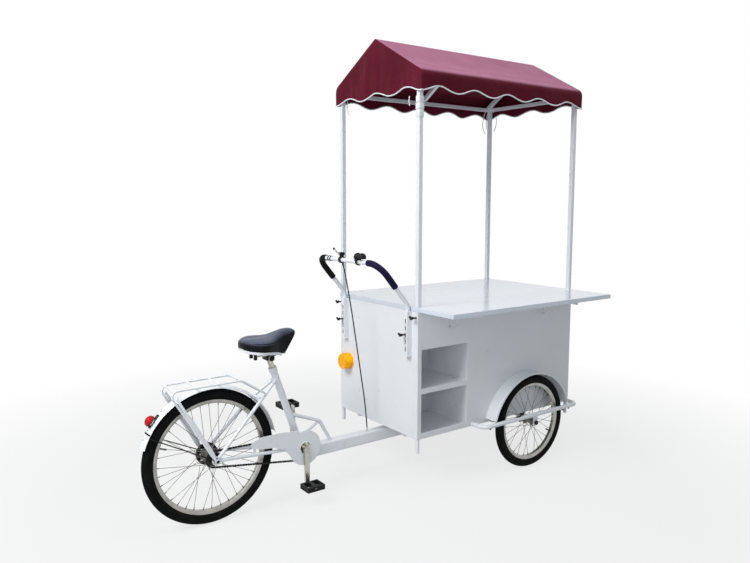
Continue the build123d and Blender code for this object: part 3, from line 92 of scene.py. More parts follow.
class Tree:
    """A tree of shader nodes, and short ways to add to it."""

    def __init__(self, tree):
        self.tree = tree

    def node(self, kind, **inputs):
        """A new node; each input is a value or the socket that feeds it."""
        made = self.tree.nodes.new(f"ShaderNode{kind}")
        for socket, value in inputs.items():
            self.feed(made, socket.replace("_", " "), value)
        return made

    def feed(self, node, socket, value):
        if isinstance(value, bpy.types.NodeSocket):
            self.tree.links.new(value, node.inputs[socket])
        else:
            node.inputs[socket].default_value = value

    def combine(self, operation, first, second):
        made = self.node("Math")
        made.operation = operation
        self.feed(made, 0, first)
        self.feed(made, 1, second)
        return made.outputs[0]

    def between(self, value, low, high, to_low=0.0, to_high=1.0):
        """Map a value from one range into another."""
        made = self.node("MapRange", Value=value, From_Min=low, From_Max=high, To_Min=to_low, To_Max=to_high)
        return made.outputs["Result"]

    def mixed(self, factor, first, second):
        """A shader between two others."""
        made = self.node("MixShader")
        for index, socket in enumerate((factor, first, second)):
            self.feed(made, index, socket)
        return made.outputs[0]

    def seen_directly(self):
        """1 for the camera's own rays and for those that metal and glass send on, else 0."""
        path = self.node("LightPath").outputs
        glossy = self.combine("MAXIMUM", path["Is Camera Ray"], path["Is Glossy Ray"])
        return self.combine("MAXIMUM", glossy, path["Is Transmission Ray"])


class Finish(Tree):
    """A material: one Principled shader with procedural colour, roughness and bump."""

    def __init__(self, name, color, roughness, metallic=0.0, **sockets):
        self.material = bpy.data.materials.new(name)
        self.material.use_nodes = True
        super().__init__(self.material.node_tree)
        self.shader = self.tree.nodes["Principled BSDF"]
        self.place = self.node("TexCoord").outputs["Object"]
        self.normal = None
        self.feed(self.shader, "Base Color", (*color, 1))
        self.feed(self.shader, "Roughness", roughness)
        self.feed(self.shader, "Metallic", metallic)
        for socket, value in sockets.items():
            self.feed(self.shader, socket.replace("_", " "), value)

    def speckle(self, scale, detail=3.0, stretch=(1, 1, 1)):
        """Noise from 0 to 1, its scale per metre."""
        place = self.node("Mapping", Vector=self.place, Scale=stretch).outputs["Vector"]
        return self.node("TexNoise", Vector=place, Scale=scale, Detail=detail, Roughness=0.5).outputs["Fac"]

    def waves(self, axis, scale):
        made = self.node("TexWave", Vector=self.place, Scale=scale)
        made.bands_direction = axis
        return made.outputs["Fac"]

    def facing_up(self, low, high):
        """From 0 on what stands upright to 1 on what lies flat."""
        split = self.node("SeparateXYZ", Vector=self.node("NewGeometry").outputs["Normal"])
        return self.between(split.outputs["Z"], low, high)

    def tint(self, factor, other):
        """Mix the base colour towards another by a factor from 0 to 1."""
        mix = self.node("Mix")
        mix.data_type = "RGBA"
        old = self.shader.inputs["Base Color"]
        self.feed(mix, "Factor", factor)
        self.feed(mix, MIX_A, old.links[0].from_socket if old.is_linked else tuple(old.default_value))
        self.feed(mix, MIX_B, (*other, 1))
        self.feed(self.shader, "Base Color", mix.outputs[MIX_RESULT])

    def roughen(self, value, low, high):
        self.feed(self.shader, "Roughness", self.between(value, 0.3, 0.7, low, high))

    def bump(self, height, depth, strength=1.0):
        """Bump by a height from 0 to 1, its depth in mm."""
        made = self.node("Bump", Height=height, Distance=depth * MM, Strength=strength)
        if self.normal:
            self.feed(made, "Normal", self.normal)
        self.normal = made.outputs["Normal"]
        self.feed(self.shader, "Normal", self.normal)
        return self


def paint(name, color, roughness, coat):
    """Powder coat: an orange-peel skin, faint mottling and dust in the colour."""
    made = Finish(name, color, roughness, Coat_Weight=coat, Coat_Roughness=0.08)
    made.tint(made.between(made.speckle(5, 5), 0.45, 0.75), [c * 0.965 for c in color])
    made.roughen(made.speckle(14, 4), roughness * 0.8, roughness * 1.25)
    return made.bump(made.speckle(700, 1), 0.08).material


def metal(name, color, roughness, metallic=1.0):
    """Bare or plated metal with fine scratches and uneven polish."""
    made = Finish(name, color, roughness, metallic)
    made.tint(made.between(made.speckle(40, 4), 0.4, 0.8), [c * 0.7 for c in color])
    made.roughen(made.speckle(120, 3), roughness * 0.7, roughness * 1.4)
    return made.bump(made.speckle(900, 2), 0.03).material


def plastic(name, color, roughness, grain=1400, depth=0.05):
    """Moulded plastic with a fine grain."""
    made = Finish(name, color, roughness, Specular_IOR_Level=0.16)
    made.tint(made.between(made.speckle(30, 3), 0.4, 0.8), [c * 1.5 + 0.002 for c in color])
    made.roughen(made.speckle(60, 3), roughness * 0.8, roughness * 1.2)
    return made.bump(made.speckle(grain, 2), depth).material


def rubber(name, color, roughness, pores=500):
    """Rubber with dust caught in it and fine pores."""
    made = Finish(name, color, roughness, Specular_IOR_Level=0.07)
    made.tint(made.between(made.speckle(22, 5), 0.5, 0.85), [c + 0.008 for c in color])
    made.roughen(made.speckle(35, 3), roughness * 0.9, min(1.0, roughness * 1.12))
    return made.bump(made.speckle(pores, 3), 0.12).material


def canvas():
    """Coated canvas: a plain weave, a painted pinkish highlight where it faces the sky, and a soft sheen."""
    made = Finish(
        "canopy_cloth",
        (0.09, 0.0055, 0.0165),
        0.5,
        Sheen_Weight=0.02,
        Sheen_Roughness=0.35,
        Sheen_Tint=(0.95, 0.6, 0.7, 1),
        Specular_IOR_Level=0.06,
    )
    made.tint(made.between(made.speckle(3.2, 4), 0.4, 0.75), (0.13, 0.01, 0.026))
    made.tint(made.between(made.speckle(60, 5), 0.5, 0.9), (0.075, 0.004, 0.013))
    # painted highlight: upward faces lighter and pinker, standing in for the sky's sheen on the coating
    made.tint(made.facing_up(0.55, 0.97), (0.50, 0.185, 0.30))
    made.roughen(made.speckle(8, 3), 0.42, 0.58)
    made.bump(made.speckle(26, 4, (0.4, 1, 1)), 1.2, 0.5)
    weave = made.combine("MULTIPLY", made.waves("X", 420), made.waves("Y", 420))
    return made.bump(weave, 0.12, 0.6).material


def vinyl():
    """Saddle vinyl with a pebbled grain and a painted bluish highlight on its upward faces."""
    made = Finish("saddle_vinyl", (0.004, 0.0045, 0.006), 0.34, Specular_IOR_Level=0.1)
    # painted reflection: upward faces lighter and bluer, standing in for the sky seen in the vinyl
    made.tint(made.facing_up(0.3, 0.95), (0.105, 0.12, 0.165))
    made.roughen(made.speckle(24, 3), 0.28, 0.46)
    cells = made.node("TexVoronoi", Vector=made.place, Scale=620.0)
    return made.bump(cells.outputs["Distance"], 0.18, 0.7).material


LOOKS = {
    # slot: kind, colour, roughness and what else the kind takes
    "white_paint": (paint, (0.80, 0.82, 0.845), 0.34, 0.25),
    "counter_white": (paint, (0.66, 0.715, 0.80), 0.16, 0.3),
    "tyre_black": (rubber, (0.0045, 0.0045, 0.0048), 0.78),
    "rim_alloy": (metal, (0.42, 0.41, 0.385), 0.34),
    "spoke_steel": (metal, (0.22, 0.21, 0.19), 0.38, 0.45),
    "dark_steel": (metal, (0.022, 0.021, 0.021), 0.4, 0.8),
    "crank_steel": (metal, (0.55, 0.53, 0.48), 0.26),
    "black_plastic": (plastic, (0.0055, 0.0055, 0.006), 0.42),
    "grip_navy": (rubber, (0.010, 0.009, 0.036), 0.6, 800),
    "grip_black": (rubber, (0.005, 0.005, 0.006), 0.7, 800),
    "lamp_red": (plastic, (0.42, 0.006, 0.008), 0.14, 300, 0.02),
    "inlet_yellow": (plastic, (0.96, 0.42, 0.0015), 0.38),
}
FINISHES = {name: kind(name, *values) for name, (kind, *values) in LOOKS.items()}
FINISHES["canopy_cloth"] = canvas()
FINISHES["saddle_black"] = vinyl()

# CAD nodes: rounded edges and their finish
BEVELS = {
    # bevel in mm: the nodes whose edges show it
    2.0: ("counter_top", "flap", "door_left"),
    1.5: ("canopy_posts", "canopy_frame", "chassis"),
    1.2: ("corner_tubes", "floor_panel"),
    1.0: ("panel_rear", "panel_front", "panel_right", "panel_left", "bar_sockets", "cranks"),
    0.8: ("shelf_unit",),
}
SMOOTH_ANGLE = math.radians(35)
WELD_DISTANCE = 0.01 * MM


def smoothing_group():
    """Geometry nodes that join a tessellated mesh and smooth it below an angle."""
    group = bpy.data.node_groups.new("joined_and_smoothed", "GeometryNodeTree")
    for way in ("INPUT", "OUTPUT"):
        group.interface.new_socket("Geometry", in_out=way, socket_type="NodeSocketGeometry")
    new, link = group.nodes.new, group.links.new
    start, end = new("NodeGroupInput"), new("NodeGroupOutput")
    clear, weld = new("GeometryNodeRemoveAttribute"), new("GeometryNodeMergeByDistance")
    smooth, sharp = (new("GeometryNodeSetShadeSmooth") for _ in range(2))
    chain = [start, clear, weld, smooth, sharp, end]
    for before, after in zip(chain, chain[1:]):
        link(before.outputs["Geometry"], after.inputs["Geometry"])
    clear.inputs["Name"].default_value = "custom_normal"
    weld.inputs["Distance"].default_value = WELD_DISTANCE
    sharp.domain = "EDGE"
    angle, below = new("GeometryNodeInputMeshEdgeAngle"), new("FunctionNodeCompare")
    below.operation = "LESS_THAN"
    below.inputs["B"].default_value = SMOOTH_ANGLE
    link(angle.outputs["Unsigned Angle"], below.inputs["A"])
    link(below.outputs["Result"], sharp.inputs["Shade Smooth"])
    return group


SMOOTHING = smoothing_group()


def smooth_faces(made):
    made.modifiers.new("joined", "NODES").node_group = SMOOTHING


def round_edges(made, width, segments):
    """Bevel the sharp edges, the width in mm."""
    rounded = made.modifiers.new("rounded", "BEVEL")
    rounded.width = width * MM
    rounded.segments = segments
    rounded.limit_method = "ANGLE"
    rounded.angle_limit = SMOOTH_ANGLE


def dress_nodes():
    """Give each CAD node its material, smooth shading and rounded edges."""
    widths = {name: width for width, names in BEVELS.items() for name in names}
    for row in frame["record"]["subparts"]:
        node = nodes[row["node"]]
        node.data.materials.clear()
        node.data.materials.append(FINISHES[row["material_slot"]])
        smooth_faces(node)
        if row["node"] in widths:
            round_edges(node, widths[row["node"]], 3)
            node.modifiers.new("weighted", "WEIGHTED_NORMAL").keep_sharp = True


dress_nodes()


# Meshes
def placed(name, data):
    """A new object in the scene."""
    made = bpy.data.objects.new(name, data)
    bpy.context.scene.collection.objects.link(made)
    return made


def piece(name, mesh, body, slot, replaces=()):
    """A new object that rides on a body, takes a slot's finish and stands for CAD nodes."""
    made = placed(name, mesh)
    mesh.materials.append(FINISHES[slot])
    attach(made, body)
    if replaces:
        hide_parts(*replaces)
    return made


def mesh_from(name, points, faces, join=0.02 * MM):
    """A smooth mesh, its faces turned outward and its points that are nearer than join made one."""
    mesh = bpy.data.meshes.new(name)
    mesh.from_pydata([tuple(p) for p in points], [], faces)
    work = bmesh.new()
    work.from_mesh(mesh)
    if join:
        bmesh.ops.remove_doubles(work, verts=work.verts, dist=join)
    bmesh.ops.recalc_face_normals(work, faces=work.faces)
    work.to_mesh(mesh)
    work.free()
    mesh.polygons.foreach_set("use_smooth", [True] * len(mesh.polygons))
    return mesh


def grid_faces(rows, columns, wrap_rows=False, wrap_columns=False, start=0):
    """Quads of a grid of points stored row by row."""
    faces = []
    for r in range(rows if wrap_rows else rows - 1):
        here, after = start + r * columns, start + (r + 1) % rows * columns
        for c in range(columns if wrap_columns else columns - 1):
            beside = (c + 1) % columns
            faces.append((here + c, here + beside, after + beside, after + c))
    return faces


def tube_faces(rows, columns, start=0):
    """The same for rows that are rings, with a cap on the first and the last."""
    last = start + (rows - 1) * columns
    caps = [tuple(range(first, first + columns)) for first in (start, last)]
    return grid_faces(rows, columns, wrap_columns=True, start=start) + caps


def ring_frames(points, closed):
    """Two directions across a path at each of its points, carried along without twist."""
    count = len(points)
    frames = []
    side = None
    for i, point in enumerate(points):
        before = points[i - 1] if i or closed else point
        after = points[(i + 1) % count] if i + 1 < count or closed else point
        along = (after - before).normalized()
        if side is None:
            side = along.orthogonal().normalized()
        side = (side - along * side.dot(along)).normalized()
        frames.append((side.copy(), along.cross(side)))
    return frames


def tube_mesh(name, points, radii, sides, closed=False):
    """A round tube through points, with flat caps where it is open."""
    rings = []
    for point, radius, (a, b) in zip(points, radii, ring_frames(points, closed)):
        rings += [point + radius * (math.cos(turn) * a + math.sin(turn) * b) for turn in turns(sides)]
    faces = grid_faces(len(points), sides, True, True) if closed else tube_faces(len(points), sides)
    return mesh_from(name, rings, faces)


def tube(name, points, radius, sides, body, slot, closed=False):
    """A piece that is a round tube of one radius."""
    return piece(name, tube_mesh(name, points, [radius] * len(points), sides, closed), body, slot)


def rounded_path(corners, radius, step):
    """Points along straight runs that tangent arcs join."""
    bends = [corners[0]]
    for before, here, after in zip(corners, corners[1:], corners[2:]):
        a, b = (before - here).normalized(), (after - here).normalized()
        half = a.angle(b) / 2
        centre = here + (a + b).normalized() * radius / math.sin(half)
        first = here + a * radius / math.tan(half) - centre
        last = here + b * radius / math.tan(half) - centre
        turn = math.pi - 2 * half
        count = max(3, round(radius * turn / step))
        for angle in spread(0, turn, count):
            bends.append(centre + Matrix.Rotation(angle, 3, first.cross(last)) @ first)
    bends.append(corners[-1])
    path = [bends[0]]
    for a, b in zip(bends, bends[1:]):
        count = max(1, round((b - a).length / step))
        path += [a.lerp(b, (i + 1) / count) for i in range(count)]
    return path


def through(values, place):
    """Value on a smooth curve through evenly numbered values, 2.5 being between the third and fourth."""
    index = min(int(place), len(values) - 2)
    t = place - index
    a, b = values[max(index - 1, 0)], values[index]
    c, d = values[index + 1], values[min(index + 2, len(values) - 1)]
    return b + 0.5 * t * (c - a + t * (2 * a - 5 * b + 4 * c - d + t * (3 * (b - c) + d - a)))


def smooth_row(table, place):
    """All columns of a table at a place between its rows."""
    return [through(column, place) for column in zip(*table)]


class Solids:
    """Small solids gathered into one mesh. Points are in metres; radii and profiles are in mm."""

    def __init__(self):
        self.points, self.faces = [], []

    def add(self, rings):
        """One solid through rings of as many points each."""
        self.faces += tube_faces(len(rings), len(rings[0]), len(self.points))
        for ring in rings:
            self.points += ring

    def lathe(self, base, axis, profile, sides=16, side=None):
        """Turn a profile about the axis: rows of a place along it and a radius, or an oval's two."""
        axis = Vector(axis).normalized()
        side = side or axis.orthogonal().normalized()
        other = axis.cross(side)
        rings = []
        for along, *radii in profile:
            foot, a, b = base + axis * along * MM, side * radii[0] * MM, other * radii[-1] * MM
            rings.append([foot + a * math.cos(turn) + b * math.sin(turn) for turn in turns(sides)])
        self.add(rings)

    def rod(self, start, end, radius, sides=12):
        along = end - start
        self.lathe(start, along, [(0, radius), (along.length / MM, radius)], sides)

    def prism(self, outline, depth):
        """Stand an outline of points up along a vector."""
        self.add([outline, [p + Vector(depth) for p in outline]])

    def block(self, low, high):
        corners = [(low.x, low.y), (high.x, low.y), (high.x, high.y), (low.x, high.y)]
        self.prism([Vector((x, y, low.z)) for x, y in corners], (0, 0, high.z - low.z))

    def piece(self, name, body, slot, replaces=(), bevel=0.0):
        made = piece(name, mesh_from(name, self.points, self.faces, 0), body, slot, replaces)
        if bevel:
            round_edges(made, bevel, 2)
        smooth_faces(made)


# Canopy
ROOF_LOW, ROOF_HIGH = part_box("canopy_cover")
ROOF_LENGTH = ROOF_HIGH.x - ROOF_LOW.x
ROOF_HALF = (ROOF_HIGH.y - ROOF_LOW.y) / 2
ROOF_MID = (ROOF_HIGH.y + ROOF_LOW.y) / 2
RIDGE_RISE = 196 * MM
EAVE_HEIGHT = ROOF_HIGH.z - RIDGE_RISE
EAVE_RADIUS = 46 * MM
SCALLOP_RISE = 13 * MM
HEM_HEIGHT = ROOF_LOW.z + SCALLOP_RISE
SIDE_SCALLOPS, END_SCALLOPS = 5, 3
SLOPE_STEPS, EAVE_STEPS, DROP_STEPS, LENGTH_STEPS = 34, 8, 22, 130
HEM_STEPS = ((SIDE_SCALLOPS, 120), (END_SCALLOPS, 72))
CLOTH, PIPING_RADIUS = 0.9 * MM, 3.2 * MM
SAG, ROOF_FOLD, CREASE = 7 * MM, 2.6 * MM, 2.2 * MM
CREASE_SHARE, CREASE_WIDTH_SHARE = 0.80, 0.012  # of the way from the ridge to the eave
RAFTERS_EASE = 18  # how soon the roof's slack starts from its ends
FLUTE, FLUTE_TUCK = 7 * MM, 3 * MM
GABLE_FOLD, GABLE_TUCK, GABLE_EASE = 9 * MM, 5 * MM, 90 * MM
ON_GABLE_SHARE, ON_SIDE_SHARE = 0.0005, 0.995


def roof_section():
    """Half of the roof's section, from the ridge over the rounded eave: pairs of y and z."""
    pitch = math.atan2(RIDGE_RISE, ROOF_HALF)
    upright = math.pi / 2 - pitch
    setback = EAVE_RADIUS * math.tan(upright / 2)
    turn_y = ROOF_HALF - setback * math.cos(pitch)
    turn_z = EAVE_HEIGHT + setback * math.sin(pitch)
    points = list(zip(spread(0, turn_y, SLOPE_STEPS), spread(ROOF_HIGH.z, turn_z, SLOPE_STEPS)))
    centre_y, centre_z = ROOF_HALF - EAVE_RADIUS, EAVE_HEIGHT - setback
    for turn in spread(upright, 0, EAVE_STEPS)[1:]:
        points.append((centre_y + EAVE_RADIUS * math.cos(turn), centre_z + EAVE_RADIUS * math.sin(turn)))
    return points


def hem(share, count):
    """Height of the scalloped hem for a share of a side's length."""
    return HEM_HEIGHT - SCALLOP_RISE * math.cos(math.tau * share * count)


def crumple(point, scale, seed):
    return noise.noise(Vector((point.x * scale[0] + seed, point.y * scale[1], point.z * scale[2])))


def drape(point):
    """Move a point of the taut canopy to where the slack cloth lies."""
    moved = point.copy()
    along = (point.x - ROOF_LOW.x) / ROOF_LENGTH
    to_end = min(along, 1 - along)
    on_gable = to_end < ON_GABLE_SHARE
    y = point.y - ROOF_MID
    across = min(1.0, abs(y) / ROOF_HALF)
    on_side = across >= ON_SIDE_SHARE
    if on_side:
        # side valance: soft flutes that grow towards the hem
        drop = max(0.0, min(1.0, (EAVE_HEIGHT - point.z) / (EAVE_HEIGHT - ROOF_LOW.z)))
        flute = 0.5 * math.sin(math.tau * along * SIDE_SCALLOPS + 0.9) + 1.2 * crumple(point, (9, 1, 4), 1.0)
        moved.y += math.copysign(1, y) * drop * (FLUTE * flute - FLUTE_TUCK)
    elif not on_gable:
        # roof: sag between ridge, eave and rafters, a sewn crease above the eave, tension folds
        middle = math.sin(math.pi * across)
        sag = SAG * middle * (0.35 + 0.65 * abs(math.sin(math.tau * along)))
        crease = CREASE * math.exp(-(((across - CREASE_SHARE) / CREASE_WIDTH_SHARE) ** 2))
        fold = ROOF_FOLD * middle * crumple(point, (3.2, 7, 7), 4.0)
        moved.z += min(1.0, to_end * RAFTERS_EASE) * (fold - sag - crease)
    if on_gable:
        # gable: upright folds, deeper towards the hem
        rise = max(0.0, min(1.0, (ROOF_HIGH.z - RIDGE_RISE * across - point.z) / GABLE_EASE))
        fold = crumple(point, (1, 11, 2.2), 9.0) + 0.5 * crumple(point, (1, 27, 5), 3.0)
        side = -1 if along < 0.5 else 1
        moved.x += side * rise * (1 - across**6) * (GABLE_FOLD * fold - GABLE_TUCK)
    return moved


def canopy_mesh():
    half = roof_section()
    section = [(-y, z) for y, z in reversed(half)] + half[1:]
    columns = len(section)
    points = []
    # roof and side valances, row by row from the rear to the front
    for share in spread(0, 1, LENGTH_STEPS):
        x, low = ROOF_LOW.x + ROOF_LENGTH * share, hem(share, SIDE_SCALLOPS)
        edge_y, edge_z = section[0]
        left = [(edge_y, z) for z in spread(low, edge_z, DROP_STEPS)[:-1]]
        right = [(-y, z) for y, z in reversed(left)]
        points += [Vector((x, ROOF_MID + y, z)) for y, z in left + section + right]
    faces = grid_faces(LENGTH_STEPS + 1, columns + 2 * DROP_STEPS)
    # rear and front gables, column by column from the roof down to the hem
    for x in (ROOF_LOW.x, ROOF_HIGH.x):
        faces += grid_faces(columns, DROP_STEPS + 1, start=len(points))
        for y, z in section:
            low = hem((y + ROOF_HALF) / (2 * ROOF_HALF), END_SCALLOPS)
            points += [Vector((x, ROOF_MID + y, height)) for height in spread(z, low, DROP_STEPS)]
    return mesh_from("canopy", [drape(p) for p in points], faces)


def hem_path():
    """The hem's line all round, where the drape leaves it."""
    back, front = ROOF_LOW.x, ROOF_HIGH.x
    corners = [(back, -ROOF_HALF), (front, -ROOF_HALF), (front, ROOF_HALF), (back, ROOF_HALF)]
    path = []
    for index, (x, y) in enumerate(corners):
        next_x, next_y = corners[(index + 1) % 4]
        scallops, steps = HEM_STEPS[index % 2]
        for share in spread(0, 1, steps)[:-1]:
            spot = (x + (next_x - x) * share, ROOF_MID + y + (next_y - y) * share, hem(share, scallops))
            path.append(drape(Vector(spot)))
    return path


def make_canopy():
    canopy = piece("canopy", canopy_mesh(), CART, "canopy_cloth", ["canopy_cover"])
    shell = canopy.modifiers.new("thickness", "SOLIDIFY")
    shell.thickness = CLOTH
    shell.offset = -1
    piping = tube("canopy_piping", hem_path(), PIPING_RADIUS, 10, CART, "white_paint", closed=True)


make_canopy()


# Wheels
TYRE_SEAT_SHARE = 0.95
TYRE_STEPS = 720
CROWN_SHARE = 0.55  # of the tyre's height, from its widest place to the crown
TYRE_ANGLES = (0, 4, 8, 11, 12.5, 14.5, 16, 20, 24, 28, 31.5, 33, 35, 37, 42, 47, 51, 53, 60, 70)
TYRE_ANGLES += (80, 90, 98, 101, 104, 112, 124, 127, 130, 138, 145)  # degrees from the crown
RING_GROOVES, WALL_LINES = (12.5, 14.5, 33.0, 35.0), (101, 127)
CENTRE_BAND, MIDDLE_BAND, SHOULDER_BAND = (-1, 12), (15, 33), (36, 52)
GROOVE_DEPTH, LINE_DEPTH = 1.6 * MM, 0.7 * MM
CENTRE_PITCH, BLOCK_PITCH = 8, 6  # steps round the tyre from one groove to the next
SLANT = 4  # degrees across the tyre for each step round it
RIM_DEPTH = 17.3 * MM
NIPPLE = [(-1, 2.6), (1, 2.4), (3, 2.0), (12, 1.7)]
VALVE = [(-1, 5.0), (1, 5.0), (1.5, 3.6), (20, 3.2), (21, 4.0), (30, 4.0), (31, 3.0), (35, 2.6)]
WHEELS = {
    # name: body, spokes, crosses, flange radius and place, valve angle
    "front_right": ("front_wheel_right", 28, 2, 24 * MM, 27 * MM, -28.4),
    "front_left": ("front_wheel_left", 28, 2, 24 * MM, 27 * MM, 110.0),
    "rear": ("rear_wheel", 36, 3, 34 * MM, 31 * MM, 159.6),
}


def wheel_size(name):
    """Middle, radius and width of a wheel's tyre."""
    low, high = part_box(f"tyre_{name}")
    return (low + high) / 2, (high.z - low.z) / 2, high.y - low.y


def groove(angle, step):
    """Depth of the tread at an angle from the crown and a step round the tyre."""
    side = abs(angle)
    sense = 1 if angle > 0 else -1
    if CENTRE_BAND[0] < side < CENTRE_BAND[1]:
        return GROOVE_DEPTH / 2 if (step + round(angle / SLANT)) % CENTRE_PITCH == 0 else 0.0
    if side in RING_GROOVES:
        return GROOVE_DEPTH
    if MIDDLE_BAND[0] < side < MIDDLE_BAND[1]:
        return GROOVE_DEPTH if (step + sense * round(side / SLANT)) % BLOCK_PITCH == 0 else 0.0
    if SHOULDER_BAND[0] < side < SHOULDER_BAND[1]:
        return GROOVE_DEPTH if (step + (BLOCK_PITCH // 2 if sense > 0 else 0)) % BLOCK_PITCH < 2 else 0.0
    return 0.0


def make_tyre(name):
    middle, radius, width = wheel_size(name)
    semi = width * TYRE_SEAT_SHARE * CROWN_SHARE
    angles = [-a for a in reversed(TYRE_ANGLES[1:])] + list(TYRE_ANGLES)
    points = []
    for step, turn in enumerate(turns(TYRE_STEPS)):
        for angle in angles:
            lean = math.radians(angle)
            depth = groove(angle, step)
            out = (width / 2 - depth) * math.sin(lean)
            if abs(angle) in WALL_LINES:
                # a moulded line on the sidewall
                depth = -LINE_DEPTH
                out -= math.copysign(LINE_DEPTH / 2 * math.cos((math.pi / 2 - abs(lean)) / 2), angle)
            reach = radius - semi + (semi - depth) * math.cos(lean)
            points.append(polar(middle, reach, turn, out))
    tread = f"tyre_tread_{name}"
    mesh = mesh_from(tread, points, grid_faces(TYRE_STEPS, len(angles), True, True), 0.001 * MM)
    smooth_faces(piece(tread, mesh, WHEELS[name][0], "tyre_black", [f"tyre_{name}"]))


def make_nipples_and_valve(name):
    middle, radius, width = wheel_size(name)
    body, count, crosses, flange, place, valve_angle = WHEELS[name]
    bed = radius - width * TYRE_SEAT_SHARE - RIM_DEPTH
    step = math.tau / count
    nipples = Solids()
    for index in range(count):
        side = 1 if index % 2 else -1
        trail = 1 if index % 4 < 2 else -1
        root = polar(middle, flange, (index - trail * crosses * 2) * step, side * place)
        seat = polar(middle, bed, index * step, side * 2.2 * MM)
        nipples.lathe(seat, root - seat, NIPPLE, 8)
    nipples.piece(f"nipples_{name}", body, "dark_steel")
    seat = polar(middle, bed, math.radians(valve_angle))
    valve = Solids()
    valve.lathe(seat, middle - seat, VALVE, 14)
    valve.piece(f"valve_{name}", body, "black_plastic")


for wheel_name in WHEELS:
    make_tyre(wheel_name)
    make_nipples_and_valve(wheel_name)


# Saddle: a padded vinyl cover over a white tray
SADDLE_LOW, SADDLE_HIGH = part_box("saddle")
SADDLE_ROWS = (
    # share forward of the tail, half width in mm, shares of the height at the hem and on top
    (0.000, 12, 0.40, 0.52),
    (0.014, 30, 0.35, 0.63),
    (0.045, 50, 0.31, 0.71),
    (0.110, 73, 0.28, 0.77),
    (0.220, 96, 0.25, 0.80),
    (0.340, 97, 0.22, 0.79),
    (0.440, 84, 0.17, 0.79),
    (0.530, 68, 0.12, 0.82),
    (0.610, 54, 0.06, 0.885),
    (0.690, 45, 0.00, 0.95),
    (0.760, 39, 0.02, 0.99),
    (0.840, 35, 0.27, 1.00),
    (0.910, 31, 0.51, 0.985),
    (0.965, 24, 0.68, 0.935),
    (0.992, 15, 0.77, 0.88),
    (1.000, 6, 0.81, 0.84),
)
SADDLE_RING = (
    # shares of the half width and of the height, from the hem's middle up to the crown
    (0.0, 0.03), (0.45, 0.02), (0.80, 0.0), (0.94, 0.01), (0.985, 0.07), (1.0, 0.22), (1.0, 0.40),
    (0.985, 0.56), (0.915, 0.70), (0.79, 0.81), (0.61, 0.90), (0.42, 0.96), (0.20, 0.99), (0.0, 0.99),
)
# places on the ring: where wrinkles start, the seam of the top panel and its stitches, the crown
WRINKLE_PLACE, SEAM_PLACE, STITCH_PLACE, CROWN_PLACE = 5, 7.3, 7.75, 9
SEAM_DEPTH_SHARE, SEAM_WIDTH = 0.022, 0.16
CHANNEL_DEPTH, CHANNEL_WIDTH_SHARE = 6 * MM, 0.25
CHANNEL_MIDDLE_SHARE, CHANNEL_REACH_SHARE = 0.28, 0.4  # of the saddle's length
WRINKLES = ((0.7, 38), (0.25, 90))  # depth in mm, scale of the noise per metre
SADDLE_LENGTH_STEPS, SADDLE_RING_STEPS = 120, 60
STITCH_FROM_SHARE, STITCH_TO_SHARE, STITCH_STEPS = 0.06, 0.92, 96  # of the saddle's rows
# shares of the tray's half width and of the saddle's height
TRAY_RING = [(0.0, 0.0), (0.7, 0.0), (0.92, 0.01), (0.97, 0.04), (0.975, 0.15), (0.0, 0.17)]
TRAY_DEPTH, TRAY_WIDTH_SHARE = 13 * MM, 0.985
TRAY_FIRST, TRAY_LAST, TRAY_STEPS = 1.6, 8.8, 40  # places among the saddle's rows


def saddle_place(share, out_mm, height_share):
    """A point by a share of the saddle's length, mm from its middle and a share of its height."""
    size = SADDLE_HIGH - SADDLE_LOW
    return Vector((SADDLE_LOW.x + size.x * share, MID_Y + out_mm * MM, SADDLE_LOW.z + size.z * height_share))


def saddle_point(row_place, ring_place, side, sink=0.0):
    """Point of the saddle's cover for a place among its rows and on its ring."""
    share, half, low, high = smooth_row(SADDLE_ROWS, row_place)
    out, up = smooth_row(SADDLE_RING, ring_place)
    point = saddle_place(share, side * out * half * (1 - sink), low + (high - low) * up)
    if ring_place > CROWN_PLACE:
        # a shallow channel down the middle of the wide part
        wide = max(0.0, 1 - abs(share - CHANNEL_MIDDLE_SHARE) / CHANNEL_REACH_SHARE)
        point.z -= CHANNEL_DEPTH * wide * math.exp(-((out / CHANNEL_WIDTH_SHARE) ** 2))
    return point


def make_saddle_cover():
    rows, ring = len(SADDLE_ROWS) - 1, len(SADDLE_RING) - 1
    points = []
    for i in range(SADDLE_LENGTH_STEPS + 1):
        for k in range(2 * SADDLE_RING_STEPS):
            side = 1 if k <= SADDLE_RING_STEPS else -1
            place = ring * (k if side > 0 else 2 * SADDLE_RING_STEPS - k) / SADDLE_RING_STEPS
            sink = SEAM_DEPTH_SHARE * math.exp(-(((place - SEAM_PLACE) / SEAM_WIDTH) ** 2))
            point = saddle_point(rows * i / SADDLE_LENGTH_STEPS, place, side, sink)
            if place > WRINKLE_PLACE and 1 < i < SADDLE_LENGTH_STEPS - 1:
                point.z += sum(depth * noise.noise(point * scale) for depth, scale in WRINKLES) * MM
            points.append(point)
    faces = tube_faces(SADDLE_LENGTH_STEPS + 1, 2 * SADDLE_RING_STEPS)
    cover = piece("saddle_cover", mesh_from("saddle_cover", points, faces), REAR, "saddle_black", ["saddle"])
    stitches = Solids()
    for side in (-1, 1):
        places = spread(rows * STITCH_FROM_SHARE, rows * STITCH_TO_SHARE, STITCH_STEPS)
        line = [saddle_point(place, STITCH_PLACE, side) + mm(0, side * 0.35, 0.35) for place in places]
        for a, b in zip(line[::2], line[1::2]):
            stitches.rod(a, b, 0.45, 6)
    stitches.piece("saddle_stitches", REAR, "saddle_black")


